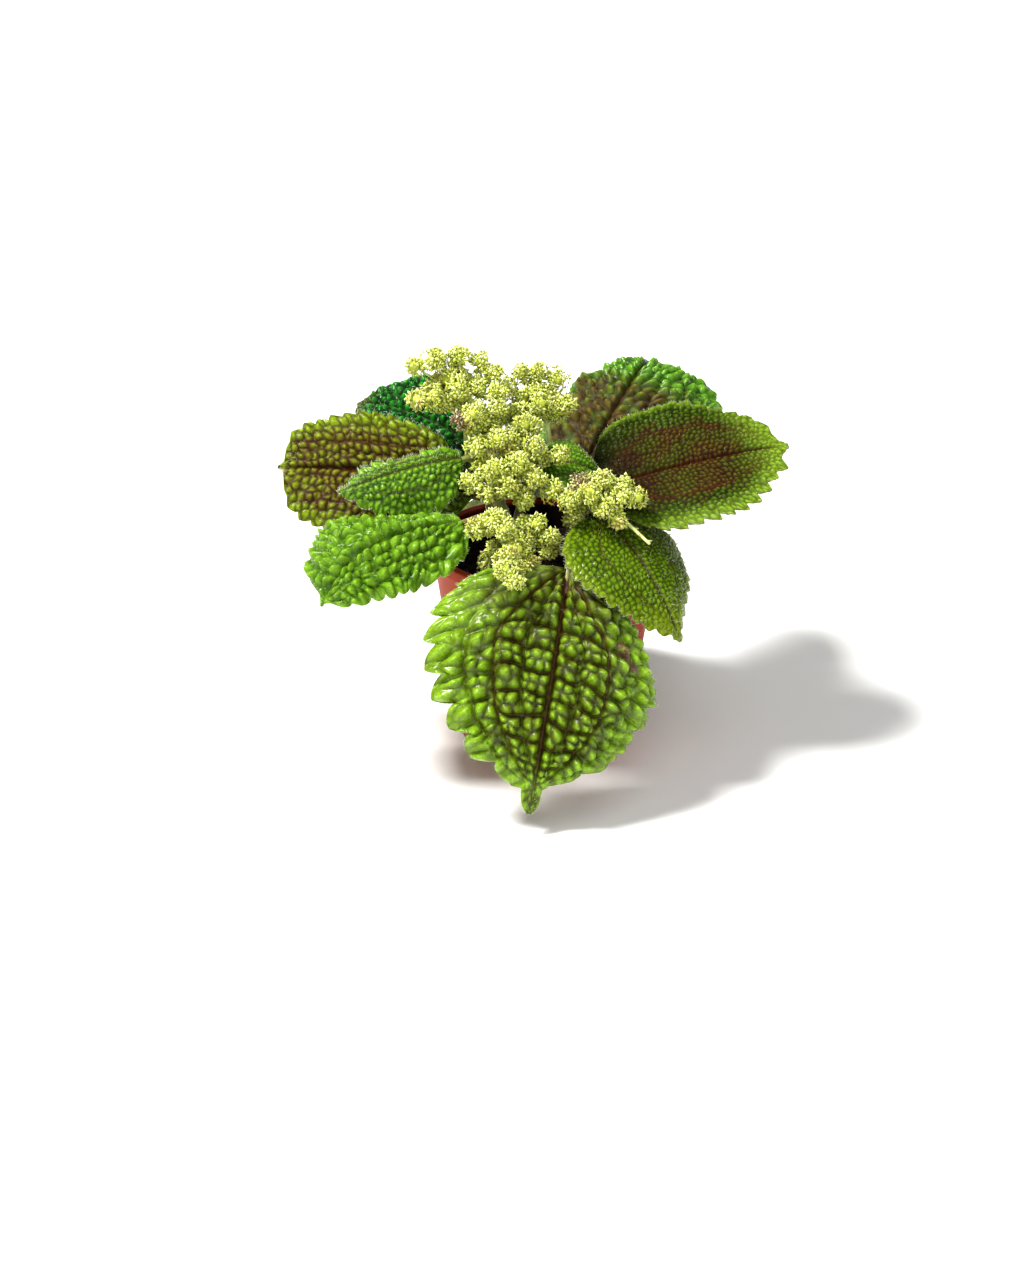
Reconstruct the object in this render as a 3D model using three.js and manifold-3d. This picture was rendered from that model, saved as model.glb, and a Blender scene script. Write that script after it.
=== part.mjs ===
// A potted moon valley pilea: a small terracotta-coloured plastic nursery pot, the potting soil, two
// fleshy stems, opposite pairs of deeply quilted leaves on their stalks, and pale branching flower heads.
// Millimetres, +Z up. The origin is the centre of the pot's flat underside and -Y is the front.

import * as THREE from 'three';
import { mergeVertices } from 'three/addons/utils/BufferGeometryUtils.js';
import Module from 'manifold-3d';

const wasm = await Module();
wasm.setup();

// Driving dimensions.

const touchGap = 0.3; // clearance between pieces that touch

const pot = {
  height: 48,
  topRadius: 27,
  baseRadius: 19.5,
  wall: 1.1,
  floor: 1.4,
  lipWidth: 0.9,
  lipHeight: 3.2,
  lipEdge: 0.5,
  footEdge: 0.8,
  facets: 36,
  drainHoles: 5,
  drainRadius: 2.4,
  drainSides: 10,
  drainCircle: 13,
};

const soil = { level: 41.5, crown: 1.6, lump: 1.1, rings: 4, facets: 26, seed: 5 };

const stemHoleAbove = 9; // how far the cutter of a stem's hole stands over the soil

// The blade's rib is sunk above and raised below, its cross veins slant forwards towards the margin, and
// its foot and tip are at least fingerShare of a half's width. The quilting is flatter where a half is
// narrower than quiltShare of its greatest width.
const blade = { thickness: 0.7, ribSunk: 0.45, ribRaised: 0.6, slant: 0.07, fingerShare: 0.1, quiltShare: 0.6 };

// The leaf stalk leaves the stem and meets the blade straight for the share straight of its length.
const petiole = { footRadius: 1.05, endRadius: 0.75, sides: 6, steps: 6, flare: 1.2, straight: 0.3 };

const stemShape = { depth: 11, rootRadius: 1.9, topRadius: 1.35, sides: 8, steps: 8 };

const stems = {
  left: { foot: [-8, 2], lean: [[-9.5, 2.5, 52], [-12, 4, 60], [-13.5, 5, 67]] },
  right: { foot: [6, 3], lean: [[6.5, 3.5, 52], [6, 5, 60], [5, 6, 68]] },
};

// Each leaf: where its stalk leaves the stem, where the blade starts and ends, which way its upper side
// faces, and its cells along and across. archNear and archFar lift the rib's first and last third towards
// the face. For the blade's right and left half, seen from foot to tip: half is its greatest width, peak
// says how far along that lies (0.62 near the foot, 1 half way), and fold and rim are the slopes, in
// degrees, beside the rib and at the margin. puff is the quilting's height, and drip the tip's share.
const leaves = [
  {
    name: 'leaf_right', stem: 'right', node: 60, base: [12, -1, 61], tip: [55, 5, 69.5],
    face: [0.1, -0.32, 0.94], rows: 9, cols: 8, archNear: 2, archFar: 2, blunt: 0.5,
    right: { half: 20.5, peak: 0.85, fold: 4, rim: 2 }, left: { half: 23, peak: 0.72, fold: 8, rim: -15 },
    tooth: 1.9, puff: 0.6,
  },
  {
    name: 'leaf_back_right', stem: 'right', node: 65, base: [10, 14.5, 62.5], tip: [26.5, 57, 71.5],
    face: [0.15, -0.5, 0.85], rows: 8, cols: 8, archNear: 8, archFar: 12.5, blunt: 0.5,
    right: { half: 24, peak: 1, fold: 5, rim: -12 }, left: { half: 15.5, peak: 0.42, fold: -12, rim: -45 },
    tooth: 1.7, puff: 0.8,
  },
  {
    name: 'leaf_front', stem: 'right', node: 49, base: [4.6, -26, 52.4], tip: [-4, -52, 5.5],
    face: [0.05, -0.86, 0.5], rows: 10, cols: 8, archNear: 9, archFar: 5, blunt: 0.5, drip: 0.12,
    right: { half: 27, peak: 0.69, fold: 5, rim: -18 }, left: { half: 24.5, peak: 1.05, fold: 6, rim: -48 },
    tooth: 2.6, puff: 1.2,
  },
  {
    name: 'leaf_front_right', stem: 'right', node: 52.5, base: [12, -11.2, 59.3], tip: [29.5, -31, 37],
    face: [0.35, -0.55, 0.8], rows: 8, cols: 6, archNear: 5, archFar: 5, blunt: 0.7,
    right: { half: 17, peak: 0.62, fold: 10, rim: -10 }, left: { half: 19.5, peak: 0.55, fold: -9, rim: -45 },
    tooth: 1.5, puff: 0.6,
  },
  {
    name: 'leaf_young_right', stem: 'right', node: 66.5, base: [-2, -3, 68.6], tip: [13, -1, 64],
    face: [0.2, -0.5, 0.85], rows: 5, cols: 4, archNear: 3, archFar: 4, blunt: 0.6,
    right: { half: 7.5, peak: 0.8, fold: 5, rim: -25 }, left: { half: 7.5, peak: 0.7, fold: 5, rim: -35 },
    tooth: 0.8, puff: 0.4,
  },
  {
    name: 'leaf_low_right', stem: 'right', node: 53, base: [14, 13, 53], tip: [42, 34, 49],
    face: [0.3, 0.2, 0.9], rows: 6, cols: 6, archNear: 3, archFar: 3, blunt: 0.6,
    right: { half: 13, peak: 0.75, fold: 5, rim: -15 }, left: { half: 13, peak: 0.75, fold: 5, rim: -15 },
    tooth: 1.4, puff: 0.8,
  },
  {
    name: 'leaf_left', stem: 'left', node: 60, base: [-21, 5, 62], tip: [-61, 4, 64.5],
    face: [0.05, -0.8, 0.6], rows: 9, cols: 8, archNear: 2, archFar: 3, blunt: 0.3,
    right: { half: 13, peak: 1.05, fold: 4, rim: -8 }, left: { half: 15, peak: 1.2, fold: 4, rim: -6 },
    tooth: 1.6, puff: 0.8,
  },
  {
    name: 'leaf_back_left', stem: 'left', node: 65, base: [-16.5, 15, 65.5], tip: [-44.5, 34, 69],
    face: [-0.1, -0.4, 0.9], rows: 8, cols: 6, archNear: 5, archFar: 5, blunt: 0.36,
    right: { half: 13.5, peak: 1, fold: 5, rim: -15 }, left: { half: 9, peak: 0.8, fold: 5, rim: -10 },
    tooth: 1.4, puff: 0.8,
  },
  {
    name: 'leaf_young_left', stem: 'left', node: 66, base: [-19, -1, 69], tip: [-46.5, -10, 64],
    face: [0, -0.5, 0.85], rows: 7, cols: 4, archNear: 2, archFar: 2, blunt: 0.6,
    right: { half: 3.5, peak: 0.8, fold: 0, rim: -20 }, left: { half: 10.8, peak: 0.75, fold: -20, rim: -60 },
    tooth: 1.1, puff: 0.5,
  },
  {
    name: 'leaf_front_left', stem: 'left', node: 54, base: [-19, -12.5, 58.5], tip: [-49.5, -31, 45.5],
    face: [-0.5, -0.42, 0.76], rows: 9, cols: 8, archNear: 4, archFar: 14, blunt: 0.35,
    right: { half: 21.2, peak: 2, fold: 2, rim: -36 }, left: { half: 13, peak: 1, fold: -20, rim: -55 },
    tooth: 1.7, puff: 0.8,
  },
  {
    name: 'leaf_low_left', stem: 'left', node: 53, base: [-16.5, 9.5, 56], tip: [-44, 29, 50],
    face: [-0.25, -0.3, 0.85], rows: 6, cols: 6, archNear: 3, archFar: 3, blunt: 0.6,
    right: { half: 13, peak: 0.75, fold: 5, rim: -15 }, left: { half: 13, peak: 0.75, fold: 5, rim: -15 },
    tooth: 1.4, puff: 0.8,
  },
  {
    name: 'leaf_back', stem: 'left', node: 49, base: [-3, 25, 52], tip: [2, 47, 18],
    face: [0, 0.7, 0.7], rows: 7, cols: 6, archNear: 5, archFar: 5, blunt: 0.5,
    right: { half: 19, peak: 0.8, fold: 5, rim: -20 }, left: { half: 19, peak: 0.8, fold: 5, rim: -20 },
    tooth: 2, puff: 1,
  },
];

// Each flower head: the stem it springs from, the head's middle and half extents, and its branches.
const heads = [
  { name: 'flowers_top_left', stem: 'left', node: 66.5, middle: [-21.5, 8, 83.5], spread: [11, 6, 7.5], seed: 3 },
  { name: 'flowers_top_right', stem: 'right', node: 67, middle: [-3, 9, 79], spread: [9, 6, 7.5], seed: 8 },
  { name: 'flowers_middle', stem: 'left', node: 66, middle: [-12, -2, 74], spread: [10, 5, 7.5], seed: 21 },
  { name: 'flowers_front', stem: 'left', node: 62, middle: [-4, -10, 67.5], spread: [12.5, 5, 7.5], seed: 40 },
  { name: 'flowers_right', stem: 'right', node: 58.2, middle: [11, -16, 62.5], spread: [10.5, 4, 7], seed: 34 },
  { name: 'flowers_low', stem: 'left', node: 51, middle: [-8, -20.5, 54.5], spread: [10, 5, 8.5], seed: 55 },
];

// Each branch carries knots of florets, at these shares of its length. A knot is a swelling whose rings
// of points alternate between the tip and the notch radius. half is half its length, and no more than
// halfShare of the branch's. Knots keep room to leaves, apart to their own head and fromHeads to others.
const knot = {
  at: [0.6, 0.93],
  tip: 2.8,
  notch: 1.1,
  vary: 0.4,
  half: 0.9,
  halfShare: 0.08,
  room: 0.5,
  apart: 3.9,
  fromHeads: 5.6,
};

// Of tries ways that a branch could take, each head has up to so many branches, where there is room.
const flowerStalk = {
  radius: 0.8,
  branchRadius: 0.4,
  branches: 11,
  tries: 31,
  stride: 12,
  sides: 4,
  forkAt: 0.5,
  arch: 0.12,
  polarCap: 0.95,
};

const colours = {
  pot: 0xb2503a,
  soil: 0x241a14,
  stem: 0x7d6a3c,
  freshLeaf: 0x5f9a1e,
  bronzeLeaf: 0x5a5a1e,
  darkLeaf: 0x2f6b25,
  flowers: 0xcfd67a,
};

// Small helpers.

const radians = THREE.MathUtils.degToRad;

const goldenAngle = Math.PI * (3 - Math.sqrt(5));

const vector = (list) => new THREE.Vector3(...list);

function seededRandom(seed) {
  let state = seed >>> 0;
  return () => {
    state = (Math.imul(state, 1664525) + 1013904223) >>> 0;
    return state / 4294967296;
  };
}

function closedGeometry(points, triangles) {
  const geometry = new THREE.BufferGeometry();
  const flat = points.flatMap((p) => [p.x, p.y, p.z]);
  geometry.setAttribute('position', new THREE.Float32BufferAttribute(flat, 3));
  geometry.setIndex(triangles.flat());
  return geometry;
}

function toSolid(source) {
  let geometry = source.clone();
  geometry.deleteAttribute('normal');
  geometry.deleteAttribute('uv');
  geometry = mergeVertices(geometry, 1e-4);
  return new wasm.Manifold(
    new wasm.Mesh({
      numProp: 3,
      vertProperties: new Float32Array(geometry.attributes.position.array),
      triVerts: new Uint32Array(geometry.index.array),
    }),
  );
}

function toGeometry(solid) {
  const mesh = solid.getMesh();
  const geometry = new THREE.BufferGeometry();
  geometry.setAttribute('position', new THREE.BufferAttribute(mesh.vertProperties, 3));
  geometry.setIndex(new THREE.BufferAttribute(mesh.triVerts, 1));
  return geometry;
}

function joined(geometries) {
  return geometries.map(toSolid).reduce((whole, next) => whole.add(next));
}

const smoothCurve = (points) => new THREE.CatmullRomCurve3(points, false, 'centripetal');

// The rings of a tube along a curve. Each station is a share of the length with the radii of the ring's
// even and odd points there. The first point of a ring lies towards side, which turns with the curve.
function tubeRings(curve, stations, sides, firstSide) {
  const side = firstSide.clone();
  return stations.map(([t, evenRadius, oddRadius]) => {
    const centre = curve.getPointAt(t);
    const along = curve.getTangentAt(t);
    side.addScaledVector(along, -side.dot(along)).normalize();
    const up = along.clone().cross(side);
    return Array.from({ length: sides }, (_, k) => {
      const turn = (2 * Math.PI * k) / sides;
      const radius = k % 2 ? oddRadius : evenRadius;
      const out = side.clone().multiplyScalar(radius * Math.cos(turn));
      return out.addScaledVector(up, radius * Math.sin(turn)).add(centre);
    });
  });
}

const evenStations = (steps, radiusAt) =>
  Array.from({ length: steps + 1 }, (_, i) => [i / steps, radiusAt(i / steps), radiusAt(i / steps)]);

// The triangles between two loops of points that run the same way round, given as lists of indices.
function bridge(near, far) {
  const triangles = [];
  let i = 0;
  let j = 0;
  while (i < near.length || j < far.length) {
    const here = near[i % near.length];
    const there = far[j % far.length];
    if (j === far.length || (i < near.length && (i + 1) / near.length <= (j + 1) / far.length)) {
      triangles.push([here, near[(i + 1) % near.length], there]);
      i++;
    } else {
      triangles.push([here, far[(j + 1) % far.length], there]);
      j++;
    }
  }
  return triangles;
}

const fan = (loop) => loop.slice(2).map((_, k) => [loop[0], loop[k + 1], loop[k + 2]]);

const indexLoops = (rings, first) => {
  let next = first;
  return rings.map((ring) => ring.map(() => next++));
};

// A closed tube through rings of points.
function loft(rings) {
  const loops = indexLoops(rings, 0);
  const sides = loops.slice(1).flatMap((loop, i) => bridge(loops[i], loop));
  const ends = [...fan([...loops[0]].reverse()), ...fan(loops.at(-1))];
  return closedGeometry(rings.flat(), [...sides, ...ends]);
}

function stalk(points, radiusAt, sides, steps) {
  return loft(tubeRings(smoothCurve(points), evenStations(steps, radiusAt), sides, acrossFirst(points)));
}

// A direction that isn't along the first two points.
function acrossFirst([first, second]) {
  const along = second.clone().sub(first);
  return along.clone().cross(Math.abs(along.x) > Math.abs(along.z) ? vector([0, 0, 1]) : vector([1, 0, 0]));
}

// The pot: a tapered thin shell with a turned-out lip and round drain holes in its flat floor.

function potWallRadius(z) {
  return THREE.MathUtils.lerp(pot.baseRadius, pot.topRadius - pot.lipWidth, z / pot.height);
}

function makePot() {
  const lipFoot = pot.height - pot.lipHeight;
  const inside = (z) => potWallRadius(z) - pot.wall;
  const profile = [
    [0, 0],
    [pot.baseRadius - pot.footEdge, 0],
    [pot.baseRadius, pot.footEdge],
    [potWallRadius(lipFoot), lipFoot],
    [pot.topRadius, lipFoot + pot.lipEdge],
    [pot.topRadius, pot.height - pot.lipEdge],
    [pot.topRadius - pot.lipEdge, pot.height],
    [inside(pot.height) + pot.lipEdge, pot.height],
    [inside(pot.height), pot.height - pot.lipEdge],
    [inside(pot.floor), pot.floor],
    [0, pot.floor],
  ];
  const shell = new THREE.LatheGeometry(profile.map(([r, z]) => new THREE.Vector2(r, z)), pot.facets);
  shell.rotateX(Math.PI / 2);
  let solid = toSolid(shell);
  for (let i = 0; i < pot.drainHoles; i++) {
    const turn = (2 * Math.PI * (i + 0.5)) / pot.drainHoles;
    const hole = new THREE.CylinderGeometry(pot.drainRadius, pot.drainRadius, 4 * pot.floor, pot.drainSides);
    hole.rotateX(Math.PI / 2);
    hole.translate(pot.drainCircle * Math.cos(turn), pot.drainCircle * Math.sin(turn), pot.floor / 2);
    solid = solid.subtract(toSolid(hole));
  }
  return toGeometry(solid);
}

// The stems: each rises from the soil, leans a little and thins towards its top.

function stemPoints({ foot, lean }) {
  const [x, y] = foot;
  return [vector([x, y, soil.level - stemShape.depth]), vector([x, y, soil.level]), ...lean.map(vector)];
}

const stemRadius = (t) => THREE.MathUtils.lerp(stemShape.rootRadius, stemShape.topRadius, t);

function stemGeometry(stem) {
  return stalk(stemPoints(stem), stemRadius, stemShape.sides, stemShape.steps);
}

// The point just off a stem's skin at a height, on the side towards a target, and the way out there.
function stemExit(stem, height, target) {
  const curve = smoothCurve(stemPoints(stem));
  let t = 0;
  while (t < 1 && curve.getPoint(t).z < height) {
    t += 0.002;
  }
  const centre = curve.getPoint(Math.min(t, 1));
  const along = curve.getTangent(Math.min(t, 1));
  const out = target.clone().sub(centre);
  out.addScaledVector(along, -out.dot(along)).normalize();
  return { point: centre.addScaledVector(out, stemRadius(t) + touchGap), out };
}

// The soil: a plug that fills the pot, with a lumpy top and a plain hole for each stem.

function makeSoil() {
  const random = seededRandom(soil.seed);
  const inside = (z) => potWallRadius(z) - pot.wall - touchGap;
  const floor = pot.floor + touchGap;
  const points = [vector([0, 0, floor])];
  const triangles = [];
  const rings = [[inside(floor), floor, 0]];
  for (let i = 0; i <= soil.rings; i++) {
    const share = 1 - i / (soil.rings + 1);
    rings.push([inside(soil.level) * share, soil.level + soil.crown * (1 - share * share), i ? soil.lump : 0]);
  }
  for (const [radius, height, lump] of rings) {
    for (let k = 0; k < soil.facets; k++) {
      const turn = (2 * Math.PI * k) / soil.facets;
      const z = height + lump * (random() - 0.5);
      points.push(vector([radius * Math.cos(turn), radius * Math.sin(turn), z]));
    }
  }
  points.push(vector([0, 0, soil.level + soil.crown]));
  const at = (ring, k) => 1 + ring * soil.facets + (k % soil.facets);
  for (let k = 0; k < soil.facets; k++) {
    triangles.push([0, at(0, k + 1), at(0, k)]);
    for (let ring = 0; ring < rings.length - 1; ring++) {
      triangles.push([at(ring, k), at(ring, k + 1), at(ring + 1, k + 1)]);
      triangles.push([at(ring, k), at(ring + 1, k + 1), at(ring + 1, k)]);
    }
    triangles.push([at(rings.length - 1, k), at(rings.length - 1, k + 1), points.length - 1]);
  }
  let solid = toSolid(closedGeometry(points, triangles));
  for (const stem of Object.values(stems)) {
    const { foot: [x, y] } = stem;
    const radius = stemShape.rootRadius + touchGap;
    const length = stemShape.depth + touchGap + stemHoleAbove;
    const hole = new THREE.CylinderGeometry(radius, radius, length, stemShape.sides * 2);
    hole.rotateX(Math.PI / 2);
    hole.translate(x, y, soil.level - stemShape.depth - touchGap + length / 2);
    solid = solid.subtract(toSolid(hole));
  }
  return toGeometry(solid);
}

// The leaves. A blade is a surface over u, from foot to tip, and v, from -1 to 1 across.

function bladeFrame(leaf) {
  const base = vector(leaf.base);
  const chord = vector(leaf.tip).sub(base);
  const along = chord.clone().normalize();
  const face = vector(leaf.face);
  face.addScaledVector(along, -face.dot(along)).normalize();
  const near = base.clone().addScaledVector(chord, 1 / 3).addScaledVector(face, leaf.archNear);
  const far = base.clone().addScaledVector(chord, 2 / 3).addScaledVector(face, leaf.archFar);
  return { face, rib: new THREE.CubicBezierCurve3(base, near, far, vector(leaf.tip)) };
}

function halfWidth(leaf, side, u) {
  const body = Math.min(u / (1 - (leaf.drip ?? 0.04)), 1);
  const ovate = Math.sin(Math.PI * body ** side.peak) ** leaf.blunt;
  const finger = blade.fingerShare * side.half * Math.sqrt(Math.max(1 - u ** 12, 0.05));
  return Math.max(side.half * ovate, finger);
}

// How far out and up a half of the blade reaches at a share of its width, and its slope there.
function crossSection({ fold, rim }, share) {
  const start = radians(fold);
  const bend = radians(rim - fold) || 1e-4;
  const slope = start + bend * share;
  return {
    out: (Math.sin(slope) - Math.sin(start)) / bend,
    up: (Math.cos(start) - Math.cos(slope)) / bend,
    slope,
  };
}

function bladePoint(leaf, frame, u, v, lift) {
  const along = frame.rib.getTangent(u);
  const side = along.clone().cross(frame.face).normalize();
  const up = side.clone().cross(along);
  const hand = Math.sign(v) || 1;
  const half = hand > 0 ? leaf.right : leaf.left;
  const reach = halfWidth(leaf, half, u);
  const { out, up: rise, slope } = crossSection(half, Math.abs(v));
  const normal = up.clone().multiplyScalar(Math.cos(slope)).addScaledVector(side, -hand * Math.sin(slope));
  const point = frame.rib
    .getPoint(u)
    .addScaledVector(side, hand * out * reach)
    .addScaledVector(up, rise * reach)
    .addScaledVector(normal, lift);
  const depth = blade.thickness + (v === 0 ? blade.ribRaised : 0);
  return { top: point, bottom: point.clone().addScaledVector(normal, -depth) };
}

// The share of a half's width that the tip of a tooth reaches.
function toothReach(leaf, half, u) {
  return 1 + leaf.tooth / Math.max(halfWidth(leaf, half, u), leaf.tooth * 2);
}

function quiltHeight(leaf, half, u) {
  return leaf.puff * Math.min(1, halfWidth(leaf, half, u) / (blade.quiltShare * half.half));
}

// The blade's cells run in ladders between the rib and the margin. Each cell is a low pyramid, so that the
// surface is quilted, and each cell at the margin ends in a forward-pointing tooth.
function bladeGeometry(leaf) {
  const frame = bladeFrame(leaf);
  const { rows, cols } = leaf;
  const tops = [];
  const bottoms = [];
  const triangles = [];
  const add = (row, v, lift) => {
    const even = row / rows;
    const u = Math.min(even + blade.slant * Math.abs(v) * 4 * even * (1 - even), 1);
    const { top, bottom } = bladePoint(leaf, frame, u, v, lift);
    tops.push(top);
    bottoms.push(bottom);
    return tops.length - 1;
  };
  const corner = [];
  for (let i = 0; i <= rows; i++) {
    corner.push([]);
    for (let j = 0; j <= cols; j++) {
      const v = (2 * j) / cols - 1;
      const onRib = j === cols / 2;
      corner[i].push(add(i, v, onRib ? -blade.ribSunk : 0));
    }
  }
  const margins = { left: [], right: [] };
  for (let i = 0; i < rows; i++) {
    for (let j = 0; j < cols; j++) {
      const v = (2 * (j + 0.5)) / cols - 1;
      const middle = add(i + 0.5, v, quiltHeight(leaf, v < 0 ? leaf.left : leaf.right, (i + 0.5) / rows));
      const loop = [corner[i][j], corner[i][j + 1], corner[i + 1][j + 1], corner[i + 1][j]];
      loop.forEach((here, k) => triangles.push([here, loop[(k + 1) % 4], middle]));
    }
    const leftTooth = add(i + 0.75, -toothReach(leaf, leaf.left, (i + 0.75) / rows), 0);
    const rightTooth = add(i + 0.75, toothReach(leaf, leaf.right, (i + 0.75) / rows), 0);
    triangles.push([corner[i + 1][0], leftTooth, corner[i][0]]);
    triangles.push([corner[i][cols], rightTooth, corner[i + 1][cols]]);
    margins.left.push(corner[i][0], leftTooth);
    margins.right.push(corner[i][cols], rightTooth);
  }
  const tipEdge = [...corner[rows].slice(1).reverse(), corner[rows][0]];
  const edge = [...margins.right, ...tipEdge, ...margins.left.reverse()];
  const count = tops.length;
  const under = triangles.map(([a, b, c]) => [a + count, c + count, b + count]);
  const walls = edge.slice(1).flatMap((next, k) => {
    const here = edge[k];
    return [[here, here + count, next + count], [here, next + count, next]];
  });
  const foot = [...corner[0].map((i) => i + count).reverse(), ...corner[0]];
  return { points: [...tops, ...bottoms], triangles: [...triangles, ...under, ...walls], foot };
}

// The leaf stalk's rings run from the stem to just short of the blade's foot.
function petioleRings(leaf) {
  const frame = bladeFrame(leaf);
  const along = frame.rib.getTangent(0);
  const start = stemExit(stems[leaf.stem], leaf.node, vector(leaf.base));
  const middle = -blade.ribSunk - (blade.thickness + blade.ribRaised) / 2;
  const end = bladePoint(leaf, frame, 0, 0, middle).top.addScaledVector(along, -petiole.flare);
  const span = end.distanceTo(start.point);
  const curve = smoothCurve([
    start.point,
    start.point.clone().addScaledVector(start.out, petiole.straight * span),
    end.clone().addScaledVector(along, -petiole.straight * span),
    end,
  ]);
  const radiusAt = (t) => THREE.MathUtils.lerp(petiole.endRadius, petiole.footRadius, t * t);
  const stations = evenStations(petiole.steps, radiusAt).map(([t, ...radii]) => [1 - t, ...radii]);
  return tubeRings(curve, stations, petiole.sides, along.clone().cross(frame.face)).reverse();
}

function makeLeaf(leaf) {
  const { points, triangles, foot } = bladeGeometry(leaf);
  const rings = petioleRings(leaf);
  const loops = indexLoops(rings, points.length);
  const stalkSides = loops.slice(1).flatMap((loop, i) => bridge(loops[i], loop));
  const joint = bridge(loops.at(-1), foot);
  const end = fan([...loops[0]].reverse());
  return closedGeometry([...points, ...rings.flat()], [...triangles, ...stalkSides, ...joint, ...end]);
}

// The flower heads: a stalk forks into branches, and each branch swells into knots of pointed florets.

const leafSkins = leaves.flatMap((leaf) => {
  const frame = bladeFrame(leaf);
  const skin = [];
  for (let u = 0; u <= 1; u += 0.05) {
    for (let v = -1; v <= 1; v += 0.125) {
      skin.push(bladePoint(leaf, frame, u, v, 0).top);
    }
  }
  return skin;
});

const knotsOfOtherHeads = [];

const isApart = (point, others, gap) => others.every((other) => other.distanceTo(point) > gap);

function isClear(point, knots) {
  const reach = knot.tip + knot.vary + knot.room;
  const insideRim = Math.hypot(point.x, point.y) < potWallRadius(pot.height) - pot.wall - reach;
  return (
    (insideRim || point.z > pot.height + reach) &&
    point.z > soil.level + soil.crown + reach &&
    isApart(point, leafSkins, reach) &&
    isApart(point, knots, knot.apart) &&
    isApart(point, knotsOfOtherHeads, knot.fromHeads)
  );
}

function branchStations(length, random) {
  const thin = flowerStalk.branchRadius;
  const half = Math.min(knot.half / length, knot.halfShare);
  const stations = [[0, thin, thin]];
  for (const t of knot.at) {
    const tip = knot.tip + knot.vary * (2 * random() - 1);
    stations.push([t - 2 * half, thin, thin], [t - half, tip, knot.notch], [t + half, knot.notch, tip]);
  }
  stations.push([1, thin, thin]);
  return stations.map(([t, even, odd]) => [Math.min(t, 1), even, odd]);
}

function makeHead(head) {
  const random = seededRandom(head.seed);
  const middle = vector(head.middle);
  const { point: start, out } = stemExit(stems[head.stem], head.node, middle);
  const span = start.distanceTo(middle);
  const fork = start.clone().lerp(middle, flowerStalk.forkAt);
  const rise = start.clone().addScaledVector(out, flowerStalk.arch * span);
  const pieces = [stalk([start, rise, fork], () => flowerStalk.radius, flowerStalk.sides + 1, 4)];
  const knots = [];
  for (let k = 0; k < flowerStalk.tries && knots.length < flowerStalk.branches * knot.at.length; k++) {
    const share = (((k * flowerStalk.stride) % flowerStalk.tries) + 0.5) / flowerStalk.tries;
    const height = flowerStalk.polarCap * (1 - 2 * share);
    const turn = share * flowerStalk.tries * goldenAngle;
    const level = Math.sqrt(1 - height * height);
    const way = vector([level * Math.cos(turn), level * Math.sin(turn), height]);
    const end = middle.clone().add(way.multiply(vector(head.spread)));
    const bend = fork.clone().lerp(end, 0.5);
    bend.z += flowerStalk.arch * fork.distanceTo(end);
    const points = [fork, bend, end];
    const curve = smoothCurve(points);
    const stations = branchStations(curve.getLength(), random);
    const places = knot.at.map((t) => curve.getPointAt(t));
    if (isClear(places.at(-1), knots) && places.every((place) => isApart(place, leafSkins, knot.tip))) {
      pieces.push(loft(tubeRings(curve, stations, flowerStalk.sides, acrossFirst(points))));
      knots.push(...places);
    }
  }
  knotsOfOtherHeads.push(...knots);
  return toGeometry(joined(pieces));
}

// The whole plant.

function piece(name, geometry, colour, roughness) {
  const material = new THREE.MeshStandardMaterial({ color: colour, roughness, metalness: 0 });
  const mesh = new THREE.Mesh(geometry, material);
  mesh.name = name;
  return mesh;
}

const leafColours = {
  leaf_right: colours.bronzeLeaf,
  leaf_left: colours.bronzeLeaf,
  leaf_back_left: colours.darkLeaf,
};

const holder = new THREE.Group();
holder.add(piece('pot', makePot(), colours.pot, 0.55), piece('soil', makeSoil(), colours.soil, 0.95));

const plant = new THREE.Group();
for (const [side, stem] of Object.entries(stems)) {
  plant.add(piece(`stem_${side}`, stemGeometry(stem), colours.stem, 0.6));
}
for (const leaf of leaves) {
  plant.add(piece(leaf.name, makeLeaf(leaf), leafColours[leaf.name] ?? colours.freshLeaf, 0.45));
}
for (const head of heads) {
  plant.add(piece(head.name, makeHead(head), colours.flowers, 0.7));
}

const pottedPilea = new THREE.Group();
pottedPilea.add(holder, plant);

export default pottedPilea;
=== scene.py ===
import math

import bpy
import numpy as np
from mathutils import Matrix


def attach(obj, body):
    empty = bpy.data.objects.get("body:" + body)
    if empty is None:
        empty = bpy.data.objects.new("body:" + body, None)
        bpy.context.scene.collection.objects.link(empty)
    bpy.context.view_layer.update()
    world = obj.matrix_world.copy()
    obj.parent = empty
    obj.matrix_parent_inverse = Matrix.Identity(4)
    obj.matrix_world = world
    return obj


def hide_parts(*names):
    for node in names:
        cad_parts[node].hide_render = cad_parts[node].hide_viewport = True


# A potted moon valley pilea. The tables give millimetres and degrees, and mm turns them into metres.
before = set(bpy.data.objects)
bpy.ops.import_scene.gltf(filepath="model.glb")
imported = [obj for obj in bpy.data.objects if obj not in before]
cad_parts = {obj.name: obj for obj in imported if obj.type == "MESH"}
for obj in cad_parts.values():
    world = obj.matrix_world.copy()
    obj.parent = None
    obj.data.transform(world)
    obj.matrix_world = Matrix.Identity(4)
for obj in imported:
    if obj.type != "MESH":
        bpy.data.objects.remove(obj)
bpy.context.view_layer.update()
mm = 0.001
touchGap = 0.3
potForm = {"height": 48, "topRadius": 27, "baseRadius": 19.5, "wall": 1.1, "floor": 1.4, "lipWidth": 0.9,
           "lipHeight": 3.2}
soilForm = {"level": 41.5, "crown": 1.6}

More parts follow.
